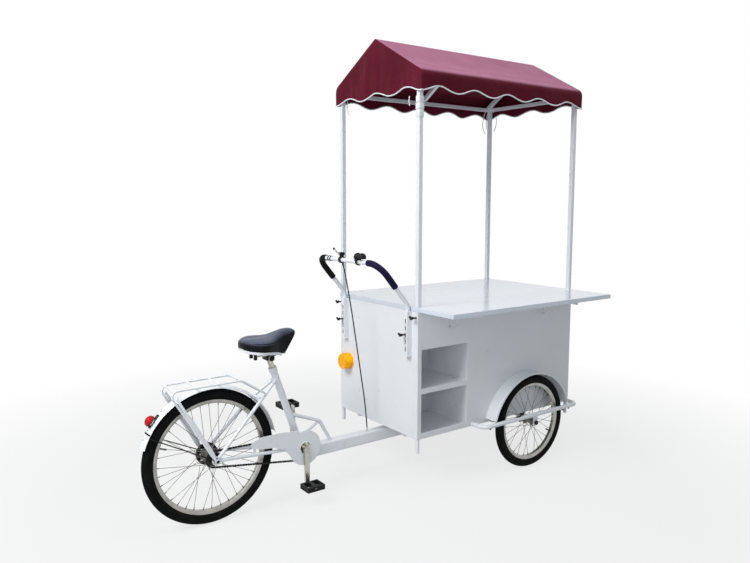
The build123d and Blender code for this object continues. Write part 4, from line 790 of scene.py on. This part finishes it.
def make_saddle_tray():
    """A white tray under the skirt that follows the hem."""
    loop = TRAY_RING + [(-out, up) for out, up in reversed(TRAY_RING[1:-1])]
    points = []
    for place in spread(TRAY_FIRST, TRAY_LAST, TRAY_STEPS):
        share, half, low, _ = smooth_row(SADDLE_ROWS, place)
        for out, up in loop:
            point = saddle_place(share, out * half * TRAY_WIDTH_SHARE, low + up)
            points.append(point - Vector((0, 0, TRAY_DEPTH)))
    mesh = mesh_from("saddle_tray", points, tube_faces(TRAY_STEPS + 1, len(loop)))
    smooth_faces(piece("saddle_tray", mesh, REAR, "white_paint"))


CLAMP_X, CLAMP_Z = -571, 713  # mm, as the next four
CLAMP_HALF, RAIL_Y = 31, 22
BUFFER_X, BUFFER_Z = -650, 714


def make_saddle_clamp():
    """The clamp on the post, and the buffers at the rails' rear ends."""
    clamp = Solids()
    barrel = [(0, 12.5), (2, 15.0), (60, 15.0), (62, 12.5)]
    clamp.lathe(at_mm(CLAMP_X, -CLAMP_HALF, CLAMP_Z), (0, 1, 0), barrel, 24)
    for side in (-1, 1):
        nut = [(0, 8), (3, 8), (3.2, 6.5), (9, 6.5)]
        clamp.lathe(at_mm(CLAMP_X, side * CLAMP_HALF, CLAMP_Z), (0, side, 0), nut, 6)
        rail = side * RAIL_Y
        buffer = [(0, 5), (2, 8.5), (8, 9), (14, 8), (34, 6)]
        clamp.lathe(at_mm(BUFFER_X, rail, BUFFER_Z), (0, 0, 1), buffer, 18)
        clamp.block(at_mm(CLAMP_X - 22, rail - 6, CLAMP_Z + 9), at_mm(CLAMP_X + 22, rail + 6, CLAMP_Z + 19.5))
    clamp.block(at_mm(CLAMP_X - 23, -25, CLAMP_Z - 9), at_mm(CLAMP_X + 16, 25, CLAMP_Z + 18))
    clamp.piece("saddle_clamp", REAR, "black_plastic", bevel=0.6)


make_saddle_cover()
make_saddle_tray()
make_saddle_clamp()


# Handlebar: grips, brake lever's blade, cable and bell
BAR_LOW, BAR_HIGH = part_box("handlebar")
BAR_RADIUS = 11.1 * MM
BAR_TOP = BAR_HIGH.z - BAR_RADIUS
BAR_BACK = BAR_LOW.x + BAR_RADIUS
BAR_HALF = (BAR_HIGH.y - BAR_LOW.y) / 2 - BAR_RADIUS
BAR_LEAN = math.radians(50)
GRIP_LEG, GRIP_TOP_RUN, GRIP_BEND = 150 * MM, 90 * MM, 75 * MM
GRIP_RADIUS = 15.6 * MM
GRIP_RINGS_FROM_SHARE, GRIP_RINGS_TO_SHARE = 0.14, 0.60
GRIP_RING_DEPTH, GRIP_RING_PITCH = 0.9 * MM, 8.5 * MM
GRIP_END_DEPTH, GRIP_END_RUN = 2.4 * MM, 3 * MM


def make_grip(name, side, slot):
    """Foam grip: smooth ends, and rings pressed into its middle."""
    corner = at(BAR_BACK, side * BAR_HALF, BAR_TOP)
    foot = corner + GRIP_LEG * Vector((math.cos(BAR_LEAN), 0, -math.sin(BAR_LEAN)))
    top_end = at(BAR_BACK, side * (BAR_HALF - GRIP_TOP_RUN), BAR_TOP)
    path = rounded_path([top_end, corner, foot], GRIP_BEND, 1.1 * MM)
    travel = [0.0]
    for a, b in zip(path, path[1:]):
        travel.append(travel[-1] + (b - a).length)
    radii = []
    for place in travel:
        to_end = min(place, travel[-1] - place)
        radius = GRIP_RADIUS - GRIP_END_DEPTH * max(0.0, 1 - to_end / GRIP_END_RUN) ** 2
        if GRIP_RINGS_FROM_SHARE < place / travel[-1] < GRIP_RINGS_TO_SHARE:
            radius -= GRIP_RING_DEPTH * (1 - abs(math.sin(math.pi * place / GRIP_RING_PITCH)) ** 0.6)
        radii.append(radius)
    grip = piece(name, tube_mesh(name, path, radii, 28), CART, slot, [name.replace("_foam", "")])


CABLE_ROUTE = (
    # x, to the left of the centre plane, z
    (-0.137, 0.038, 1.1224),
    (-0.134, 0.022, 1.076),
    (-0.127, 0.011, 1.010),
    (-0.116, 0.004, 0.930),
    (-0.100, -0.002, 0.820),
    (-0.078, -0.008, 0.660),
    (-0.056, -0.016, 0.500),
    (-0.038, -0.021, 0.360),
    (-0.026, -0.014, 0.2565),
)
CABLE_RADIUS = 3.1 * MM
FERRULE = [(-1.5, 2.0), (-1.5, 4.2), (4, 4.2), (5, 3.4), (20, 3.4), (21, 3.0)]
ADJUSTER = [(0.2, 3.2), (1, 4.4), (9, 4.4), (10, 3.6), (16, 3.4), (17, 3.0)]


def make_cable():
    """The brake's outer cable: held at both ends, so one smooth line between them."""
    data = bpy.data.curves.new("brake_cable_line", "CURVE")
    data.dimensions = "3D"
    data.bevel_depth = CABLE_RADIUS
    data.bevel_resolution = 5
    data.resolution_u = 14
    data.use_fill_caps = True
    line = data.splines.new("NURBS")
    line.points.add(len(CABLE_ROUTE) - 1)
    for point, place in zip(line.points, CABLE_ROUTE):
        point.co = (*at(*place), 1)
    line.order_u = 3
    line.use_endpoint_u = True
    piece("brake_cable_line", data, CART, "black_plastic", ["brake_cable"])
    top, below, above, foot = (at(*CABLE_ROUTE[index]) for index in (0, 1, -2, -1))
    ferrule, adjuster = Solids(), Solids()
    ferrule.lathe(foot, above - foot, FERRULE)
    ferrule.piece("cable_ferrule", CART, "crank_steel")
    adjuster.lathe(top, below - top, ADJUSTER)
    adjuster.piece("cable_adjuster", CART, "black_plastic")


def on_bar(y, up=0.0, ahead=0.0):
    """A point near the bar's straight top run, in mm."""
    return at(BAR_BACK + ahead * MM, y * MM, BAR_TOP + up * MM)


def make_lever_details():
    pivot, knee, tip = on_bar(42, 30), on_bar(82, 33), on_bar(111, 50)
    path = rounded_path([pivot.lerp(knee, 0.25), knee, knee.lerp(tip, 0.86)], 40 * MM, 2 * MM)
    tube("lever_blade", path, 4.3 * MM, 16, CART, "crank_steel")
    screws = Solids()
    for ahead in (-14.3, 12.3):
        screws.lathe(on_bar(42, 30, ahead), (1, 0, 0), [(0, 3.5), (0.4, 4.4), (2, 4.4)], 14)
    screws.lathe(on_bar(42, -17.4), (0, 0, 1), [(0, 3), (2, 3.4)], 6)
    for y in (-100, -136):
        screws.lathe(on_bar(y, 43.4), (0, 0, 1), [(0, 4), (1.0, 3.4), (1.5, 1.5)])
    screws.piece("bar_screws", CART, "crank_steel")
    # thumb lever of the bell, and rubber rings beside the brake lever's clamp
    bell = Solids()
    bell_y = -118 * MM
    bell.rod(at(BAR_BACK + 6 * MM, bell_y, 1163 * MM), at(BAR_BACK - 24 * MM, bell_y, 1154 * MM), 2.6)
    knob = [(0, 2.5), (2, 5.5), (7, 6.0), (10, 3.5)]
    bell.lathe(at(BAR_BACK - 22 * MM, bell_y, 1154.5 * MM), (-1, 0, -0.3), knob, 14)
    for y in (150, 130):
        bell.lathe(on_bar(y), (0, 1, 0), [(0, 11.3), (0.5, 13.6), (7, 13.6), (7.5, 11.3)], 24)
    bell.piece("bell_lever", CART, "black_plastic")


make_grip("grip_right_foam", -1, "grip_navy")
make_grip("grip_left_foam", 1, "grip_black")
make_cable()
make_lever_details()


# Chain: rollers and plates along the pitch line round the cog and the chainring
CHAIN_PITCH = 12.7 * MM
RING_TEETH, COG_TEETH = 31, 18
CHAIN_Y = -45 * MM
PLATE_END, PLATE_WAIST, PLATE_SHEET = 4.3 * MM, 2.7 * MM, 0.9 * MM
INNER_PLATE, OUTER_PLATE = 2.0 * MM, 3.05 * MM  # from the chain's middle to the plates' near faces
PLATE_STEPS = 6
ROLLER, PIN = [(-2, 3.9), (2, 3.9)], [(-4, 1.7), (4, 1.7)]


def chain_line():
    """Places of the chain's pins, in order round the loop."""
    cog_centre, ring_centre = wheel_size("rear")[0], sum(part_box("cranks"), Vector()) / 2
    cog_centre.y = ring_centre.y = MID_Y + CHAIN_Y
    ring, cog = (CHAIN_PITCH / 2 / math.sin(math.pi / teeth) for teeth in (RING_TEETH, COG_TEETH))
    axis = ring_centre - cog_centre
    lean = math.asin((ring - cog) / axis.length)
    run = axis.length * math.cos(lean)
    top = math.pi / 2 + lean
    stretches = (
        # centre, angle from the axis where it starts, radius, length, whether it bends
        (cog_centre, top, cog, run, False),
        (ring_centre, top, ring, (math.pi + 2 * lean) * ring, True),
        (ring_centre, -top, ring, run, False),
        (cog_centre, -top, cog, (math.pi - 2 * lean) * cog, True),
    )
    loop = sum(stretch[3] for stretch in stretches)
    count = round(loop / CHAIN_PITCH / 2) * 2
    places = []
    for index in range(count):
        travel = index / count * loop
        for centre, first, reach, length, bends in stretches:
            if travel < length:
                break
            travel -= length
        turn = math.atan2(axis.z, axis.x) + first - (travel / reach if bends else 0)
        ahead = Vector((math.sin(turn), 0, -math.cos(turn))) * (0 if bends else travel)
        places.append(polar(centre, reach, turn) + ahead)
    return places


def make_chain():
    pins = chain_line()
    steel = Solids()
    across = Vector((0, 1, 0))
    for index, pin in enumerate(pins):
        after = pins[(index + 1) % len(pins)]
        along = (after - pin).normalized()
        up = across.cross(along)
        outline = []
        for centre, first, waist in ((pin, math.pi / 2, -PLATE_WAIST), (after, -math.pi / 2, PLATE_WAIST)):
            for turn in spread(first, first + math.pi, PLATE_STEPS):
                outline.append(centre + PLATE_END * (along * math.cos(turn) + up * math.sin(turn)))
            outline.append((pin + after) / 2 + up * waist)
        near = OUTER_PLATE if index % 2 else INNER_PLATE
        for start in (-near - PLATE_SHEET, near):
            steel.prism([p + across * start for p in outline], across * PLATE_SHEET)
        steel.lathe(pin, across, ROLLER, 12)
        steel.lathe(pin, across, PIN, 8)
    steel.piece("chain_links", REAR, "dark_steel", ["chain"])


make_chain()


# Fasteners and fittings: plain numbers are mm
WASHER = 1.5
SCREW_SHARES = ((0, 1), (0.35, 0.95), (0.8, 0.62), (1, 0.2))  # of a domed head's height and radius
FRONT_AXLE_X, FRONT_AXLE_Z = 789, 250
AXLE_NUT = [(-6, 8.5), (-2, 8), (0, 6), (0.3, 3)]
REAR_AXLE = at_mm(-868, 0, 305)
AXLE_CAP = [(-8, 9), (-3, 8.6), (-0.5, 6.5), (0, 3)]
CRANK_AXLE = at_mm(-415, 0, 262)
CRANK_BOLT = [(-0.5, 8), (0.8, 8), (1.6, 6.2)]
SLOT_COUNT, SLOT_PITCH, SLOT_FROM = 5, 34, 724
SLOT_HALF_WIDTH, SLOT_HALF_HEIGHT = 3.3, 10.8


def bolt(solids, place, axis, radius, height):
    """A hexagon head on a washer."""
    solids.lathe(place, axis, [(0, radius * 1.45), (WASHER, radius * 1.45)], 18)
    base = place + Vector(axis).normalized() * WASHER * MM
    solids.lathe(base, axis, [(0, radius), (height * 0.8, radius), (height, radius * 0.85)], 6)


def screw(solids, place, axis, radius, height):
    """A domed head."""
    solids.lathe(place, axis, [(height * up, radius * out) for up, out in SCREW_SHARES], 14)


def make_fasteners():
    dark, pale, axle_caps, crank_bolts = Solids(), Solids(), Solids(), Solids()
    wall = (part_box("corner_tubes")[1].y - MID_Y) / MM
    guard_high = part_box("guard_rails")[1]
    rail_y, rail_under = (guard_high.y - MID_Y) / MM - 11, guard_high.z / MM - 22
    socket_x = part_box("bar_sockets")[0].x / MM
    bar_y = BAR_HALF / MM
    for side in (-1, 1):
        # clamp screws under the guard rails, and the clip that holds each fender's foot
        for x in (451, 667, 1009, 1062):
            bolt(dark, at_mm(x, side * rail_y, rail_under + 1.2), (0, 0, -1), 4.5, 6)
        clip_y = side * rail_y
        dark.block(at_mm(640, clip_y - 5, rail_under + 19), at_mm(672, clip_y + 5, rail_under + 26))
        # heads on the box's wall where the rails end
        for x in (408, 1134):
            screw(pale, at_mm(x, side * (wall + 0.2), 318), (0, side, 0), 4, 3)
        # dome nuts on the front axles, caps on the rear one and bolts in the cranks
        dark.lathe(at_mm(FRONT_AXLE_X, side * 434.6, FRONT_AXLE_Z), (0, side, 0), AXLE_NUT)
        axle_caps.lathe(REAR_AXLE + mm(0, side * 87.8, 0), (0, side, 0), AXLE_CAP)
        crank_bolts.lathe(CRANK_AXLE + mm(0, side * 74, 0), (0, side, 0), CRANK_BOLT, 20)
        # handlebar sockets: pale screws between the slots, and the dark tube seen through them
        for index in range(SLOT_COUNT):
            y, z = side * bar_y, SLOT_FROM + SLOT_PITCH * index
            low = at_mm(16.6, y - SLOT_HALF_WIDTH, z - SLOT_HALF_HEIGHT)
            dark.block(low, at_mm(17.4, y + SLOT_HALF_WIDTH, z + SLOT_HALF_HEIGHT))
            if index + 1 < SLOT_COUNT:
                screw(pale, at_mm(socket_x + 0.1, y, z + SLOT_PITCH / 2), (-1, 0, 0), 2.8, 1.4)
    # two screws in each leg of the flap's brackets
    for x in (243.5, 929.5):
        for z in (820, 893):
            screw(dark, at_mm(x, -337.7, z), (0, -1, 0), 3.6, 2.4)
    axle_caps.piece("dark_fasteners_rear_end", REAR, "dark_steel")
    dark.piece("dark_fasteners_cart", CART, "dark_steel")
    crank_bolts.piece("pale_fasteners_crankset", "crankset", "crank_steel")
    pale.piece("pale_fasteners_cart", CART, "crank_steel")


make_fasteners()


# Tail lamp, the pads and rivets of the rear fender
FENDER_RADIUS = 322.2 * MM
FENDER_HALF = 30 * MM
FENDER_CROWN = 9 * MM
LAMP_ANGLE = 141.0  # places on the fender are degrees about the axle
LAMP_BASE = [(1, 15, 11), (7, 16, 12), (10.5, 21, 16)]
LAMP_SEAT = [(10, 24, 19), (13.5, 25, 20)]
LENS_FOOT, LENS_RISE, LENS_LONG, LENS_HALF = 15, 19, 23.6, 18.8  # mm, as its base and seat
LENS_STEPS, LENS_STEP = 8, math.radians(10.5)
RIVET_ANGLES = (131.0, 147.5, 155.0)
STRIP_STEPS, STRIP_STEP_ANGLE = 12, 0.6


def fender_point(angle, y, out):
    """A point over the rear fender: its angle, place across and height off the sheet."""
    reach = FENDER_RADIUS + out - FENDER_CROWN * (y / FENDER_HALF) ** 2
    return polar(REAR_AXLE, reach, math.radians(angle), y)


def fender_strip(solids, first, last, half, low, high):
    """A pad that follows the fender's crown between two angles, its sizes in mm."""
    across = spread(-half, half, STRIP_STEPS)
    loop = [(y * MM, high * MM) for y in across] + [(y * MM, low * MM) for y in reversed(across)]
    angles = spread(first, last, max(2, round((last - first) / STRIP_STEP_ANGLE)))
    solids.add([[fender_point(angle, y, out) for y, out in loop] for angle in angles])


def make_tail_lamp():
    foot = fender_point(LAMP_ANGLE, 0, 0)
    outward = foot - REAR_AXLE
    along = Vector((-outward.z, 0, outward.x)).normalized()
    lens, black, white = Solids(), Solids(), Solids()
    dome = [(LENS_FOOT - 2, LENS_LONG, LENS_HALF)]
    for k in range(1, LENS_STEPS + 1):
        rise, shrink = math.sin(k * LENS_STEP), math.cos(k * LENS_STEP)
        dome.append((LENS_FOOT + LENS_RISE * rise, LENS_LONG * shrink, LENS_HALF * shrink))
    for solids, profile in ((white, LAMP_BASE), (black, LAMP_SEAT), (lens, dome)):
        solids.lathe(foot, outward, profile, 36, along)
    fender_strip(black, LAMP_ANGLE - 7.0, LAMP_ANGLE + 4.4, 12, 0.3, 2.2)
    fender_strip(black, 149.2, 150.4, 29.6, 0.2, 1.8)
    for angle in RIVET_ANGLES:
        spot = fender_point(angle, 0, 0)
        screw(black, spot, spot - REAR_AXLE, 2.6, 2.0)
    lens.piece("tail_lamp_lens", REAR, "lamp_red", ["tail_lamp"])
    black.piece("tail_lamp_mount", REAR, "black_plastic")
    white.piece("tail_lamp_base", REAR, "white_paint")


make_tail_lamp()


# Flat strips that stiffen the rack's rear legs, and the beads on the chain guard
RACK_HALF, RACK_TUBE, STRIP_SHEET = 62 * MM, 5 * MM, 3 * MM
STRIP_SHAPE = (
    # share down the leg, half width in mm
    (0.10, 5.5),
    (0.30, 6.5),
    (0.42, 11.0),
    (0.90, 10.5),
    (0.97, 7.0),
)
GUARD_FACE, GUARD_HOLE, GUARD_BEAD = 56 * MM, 28 * MM, 1.7 * MM
GUARD_BEAD_STEPS = 64


def make_rack_strips():
    low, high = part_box("rear_rack")
    eye_y = high.y - MID_Y - STRIP_SHEET
    strips = Solids()
    for side in (-1, 1):
        top = at(low.x + RACK_TUBE, side * RACK_HALF, high.z - RACK_TUBE)
        foot = REAR_AXLE + Vector((0, side * (eye_y - RACK_TUBE), 0)) + mm(-8, 0, 8)
        across = (foot - top).cross(Vector((0, 1, 0))).normalized() * MM
        out = Vector((0, side * (RACK_TUBE - STRIP_SHEET / 2), 0))
        edge = [top.lerp(foot, share) + across * half + out for share, half in STRIP_SHAPE]
        edge += [top.lerp(foot, share) - across * half + out for share, half in reversed(STRIP_SHAPE)]
        strips.prism(edge, (0, side * STRIP_SHEET, 0))
    strips.piece("rack_strips", REAR, "white_paint", bevel=0.8)


def make_guard_beads():
    """A rolled rim round the crank's hole and a screw at the guard's boss."""
    reach = GUARD_HOLE + GUARD_BEAD
    circle = [polar(CRANK_AXLE, reach, turn, -GUARD_FACE) for turn in turns(GUARD_BEAD_STEPS)]
    tube("guard_rim", circle, GUARD_BEAD, 10, REAR, "white_paint", closed=True)
    head = Solids()
    screw(head, CRANK_AXLE + mm(-112, -0.2, 20) - Vector((0, GUARD_FACE, 0)), (0, -1, 0), 4, 2.4)
    head.piece("guard_screw", REAR, "crank_steel")


make_rack_strips()
make_guard_beads()


# Power inlet: plain numbers are mm
def make_inlet_details():
    """The inlet's barrel between its lid and its flange, the lid's ribs and its catch."""
    low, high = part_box("power_inlet")
    middle = (low + high) / 2
    radius = (high.z - low.z) / 2 / MM
    length = (high.x - low.x) / MM - 6
    back = Vector((low.x, middle.y, middle.z))
    barrel = Solids()
    barrel.lathe(back + mm(5, 0, 0), (1, 0, 0), [(0, radius * 0.9), (length, radius * 0.93)], 40)
    for k in range(-2, 3):
        rib = back + mm(-0.4, 7 * k, -12)
        barrel.block(rib, rib + mm(2, 2.4, 24))
    catch = back + mm(4, -9, radius * 0.86)
    barrel.block(catch, catch + mm(length * 0.45, 18, 7))
    barrel.piece("inlet_barrel", CART, "inlet_yellow", bevel=0.8)


make_inlet_details()


# Cloth ties under the canopy and the strip wound round a post
POST_REAR_X, POST_FRONT_X, POST_Y = 54.5, 1149.5, 322
ACROSS_PICTURE = Vector((0.81, -0.585, 0))
TIES = {
    # name: its post, then offsets across the picture's width and heights, in mm
    "tie_front_a": (POST_FRONT_X, POST_Y, [(-8, 1990), (-26, 1975), (-40, 1937), (-43, 1882), (-27, 1838)]),
    "tie_front_b": (POST_FRONT_X, POST_Y, [(8, 1990), (24, 1975), (40, 1932), (38, 1890), (26, 1857)]),
    "tie_front_c": (POST_FRONT_X, POST_Y, [(-2, 1985), (-15, 1960), (-22, 1915), (-20, 1872)]),
    "tie_back_left": (POST_REAR_X, POST_Y, [(16, 1990), (25, 1952), (23, 1912), (32, 1881)]),
    "tie_back_right": (POST_REAR_X, -POST_Y, [(-48, 1905), (-50, 1884), (-47, 1862)]),
}
TIE_RADIUS, TIE_STEPS = 2.4 * MM, 8
WRAP_TURNS = ((1812, 1846, 13.9), (1848, 1876, 14.7), (1878, 1908, 14.1))  # low, high, half width


def make_ties():
    for name, (x, y, shape) in TIES.items():
        corners = [at_mm(x, y, z) + ACROSS_PICTURE * out * MM for out, z in shape]
        last = len(corners) - 1
        path = [Vector(smooth_row(corners, place)) for place in spread(0, last, TIE_STEPS * last)]
        tube(name, path, TIE_RADIUS, 8, CART, "white_paint")
    wrap = Solids()
    x, y = POST_REAR_X, -POST_Y
    for low, high, half in WRAP_TURNS:
        wrap.block(at_mm(x - half, y - half, low), at_mm(x + half, y + half, high))
    wrap.piece("post_wrap", CART, "white_paint", bevel=2.5)


make_ties()


# Camera, light and floor
CAMERA_PLACE = Vector((-1.994, -2.735, 1.441))
CAMERA_YAW, CAMERA_PITCH = math.radians(54.19), math.radians(-6.88)
FOCAL_SHARE = 687.25 / 750  # focal length over the picture's width
FLOOR_SHARE = 0.76  # of the floor's brightness that is its own white, near the object
WHITE_FROM, WHITE_TO = 1.5, 3.1  # metres from the object's middle
FLOOR_HALF = 60
SKY_SIDE, SKY_OVERHEAD, OVERHEAD_FROM = 0.14, 0.50, 0.9
LAMPS = (
    # name, place, target, size, watts, colour
    ("key", (-4.0, -0.5, 4.3), (0.2, 0.1, 0.9), 2.6, 200, (1, 1, 1)),
    ("side", (-2.7, -3.0, 1.7), (0.0, 0.0, 0.6), 1.8, 28, (0.88, 0.94, 1.0)),
    ("above", (0.1, -1.9, 5.7), (0.1, -0.3, 0.6), 1.8, 46, (0.93, 0.965, 1.0)),
)


def aim(made, place, direction):
    """Put a camera or a lamp at a place and turn it."""
    made.location = place
    made.rotation_mode = "QUATERNION"
    made.rotation_quaternion = direction.to_track_quat("-Z", "Y")


def make_camera():
    data = bpy.data.cameras.new("camera")
    data.sensor_fit = "HORIZONTAL"
    data.sensor_width = 36
    data.lens = data.sensor_width * FOCAL_SHARE
    camera = placed("camera", data)
    aim(camera, CAMERA_PLACE, Vector((math.cos(CAMERA_YAW), math.sin(CAMERA_YAW), math.tan(CAMERA_PITCH))))
    bpy.context.scene.camera = camera


def make_floor():
    """A pale floor that holds the soft shadow and goes over to white away from the object."""
    corners = [(x * FLOOR_HALF, y * FLOOR_HALF, 0) for x, y in ((-1, -1), (1, -1), (1, 1), (-1, 1))]
    floor = placed("floor", mesh_from("floor", corners, [(0, 1, 2, 3)]))
    finish = Finish("floor", (0.52, 0.52, 0.52), 0.9, Specular_IOR_Level=0.0)
    distance = finish.node("VectorMath", Vector=finish.place)
    distance.operation = "LENGTH"
    share = finish.between(distance.outputs["Value"], WHITE_FROM, WHITE_TO, FLOOR_SHARE, 1.0)
    seen = finish.combine("MULTIPLY", share, finish.seen_directly())
    white = finish.node("Emission", Strength=1.0)
    mix = finish.mixed(seen, finish.shader.outputs[0], white.outputs[0])
    finish.feed(finish.tree.nodes["Material Output"], "Surface", mix)
    floor.data.materials.append(finish.material)


def make_lamp(name, place, target, size, watts, color):
    data = bpy.data.lights.new(name, "AREA")
    data.shape = "DISK"
    data.size = size
    data.energy = watts
    data.color = color
    lamp = placed(name, data)
    lamp.visible_camera = False
    aim(lamp, Vector(place), Vector(target) - Vector(place))


def make_world():
    """A soft sky, brighter overhead than at the sides, and white where it is seen directly."""
    world = bpy.data.worlds.new("world")
    bpy.context.scene.world = world
    world.use_nodes = True
    tree = Tree(world.node_tree)
    soft = world.node_tree.nodes["Background"]
    tree.feed(soft, "Color", (0.91, 0.955, 1.0, 1))
    split = tree.node("SeparateXYZ", Vector=tree.node("TexCoord").outputs["Generated"])
    tree.feed(soft, "Strength", tree.between(split.outputs["Z"], 0.0, OVERHEAD_FROM, SKY_SIDE, SKY_OVERHEAD))
    white = tree.node("Background", Color=(1, 1, 1, 1), Strength=1.0)
    mix = tree.mixed(tree.seen_directly(), soft.outputs[0], white.outputs[0])
    tree.feed(world.node_tree.nodes["World Output"], "Surface", mix)


make_camera()
make_floor()
make_world()
for lamp_row in LAMPS:
    make_lamp(*lamp_row)
bpy.context.scene.view_settings.view_transform = "Standard"
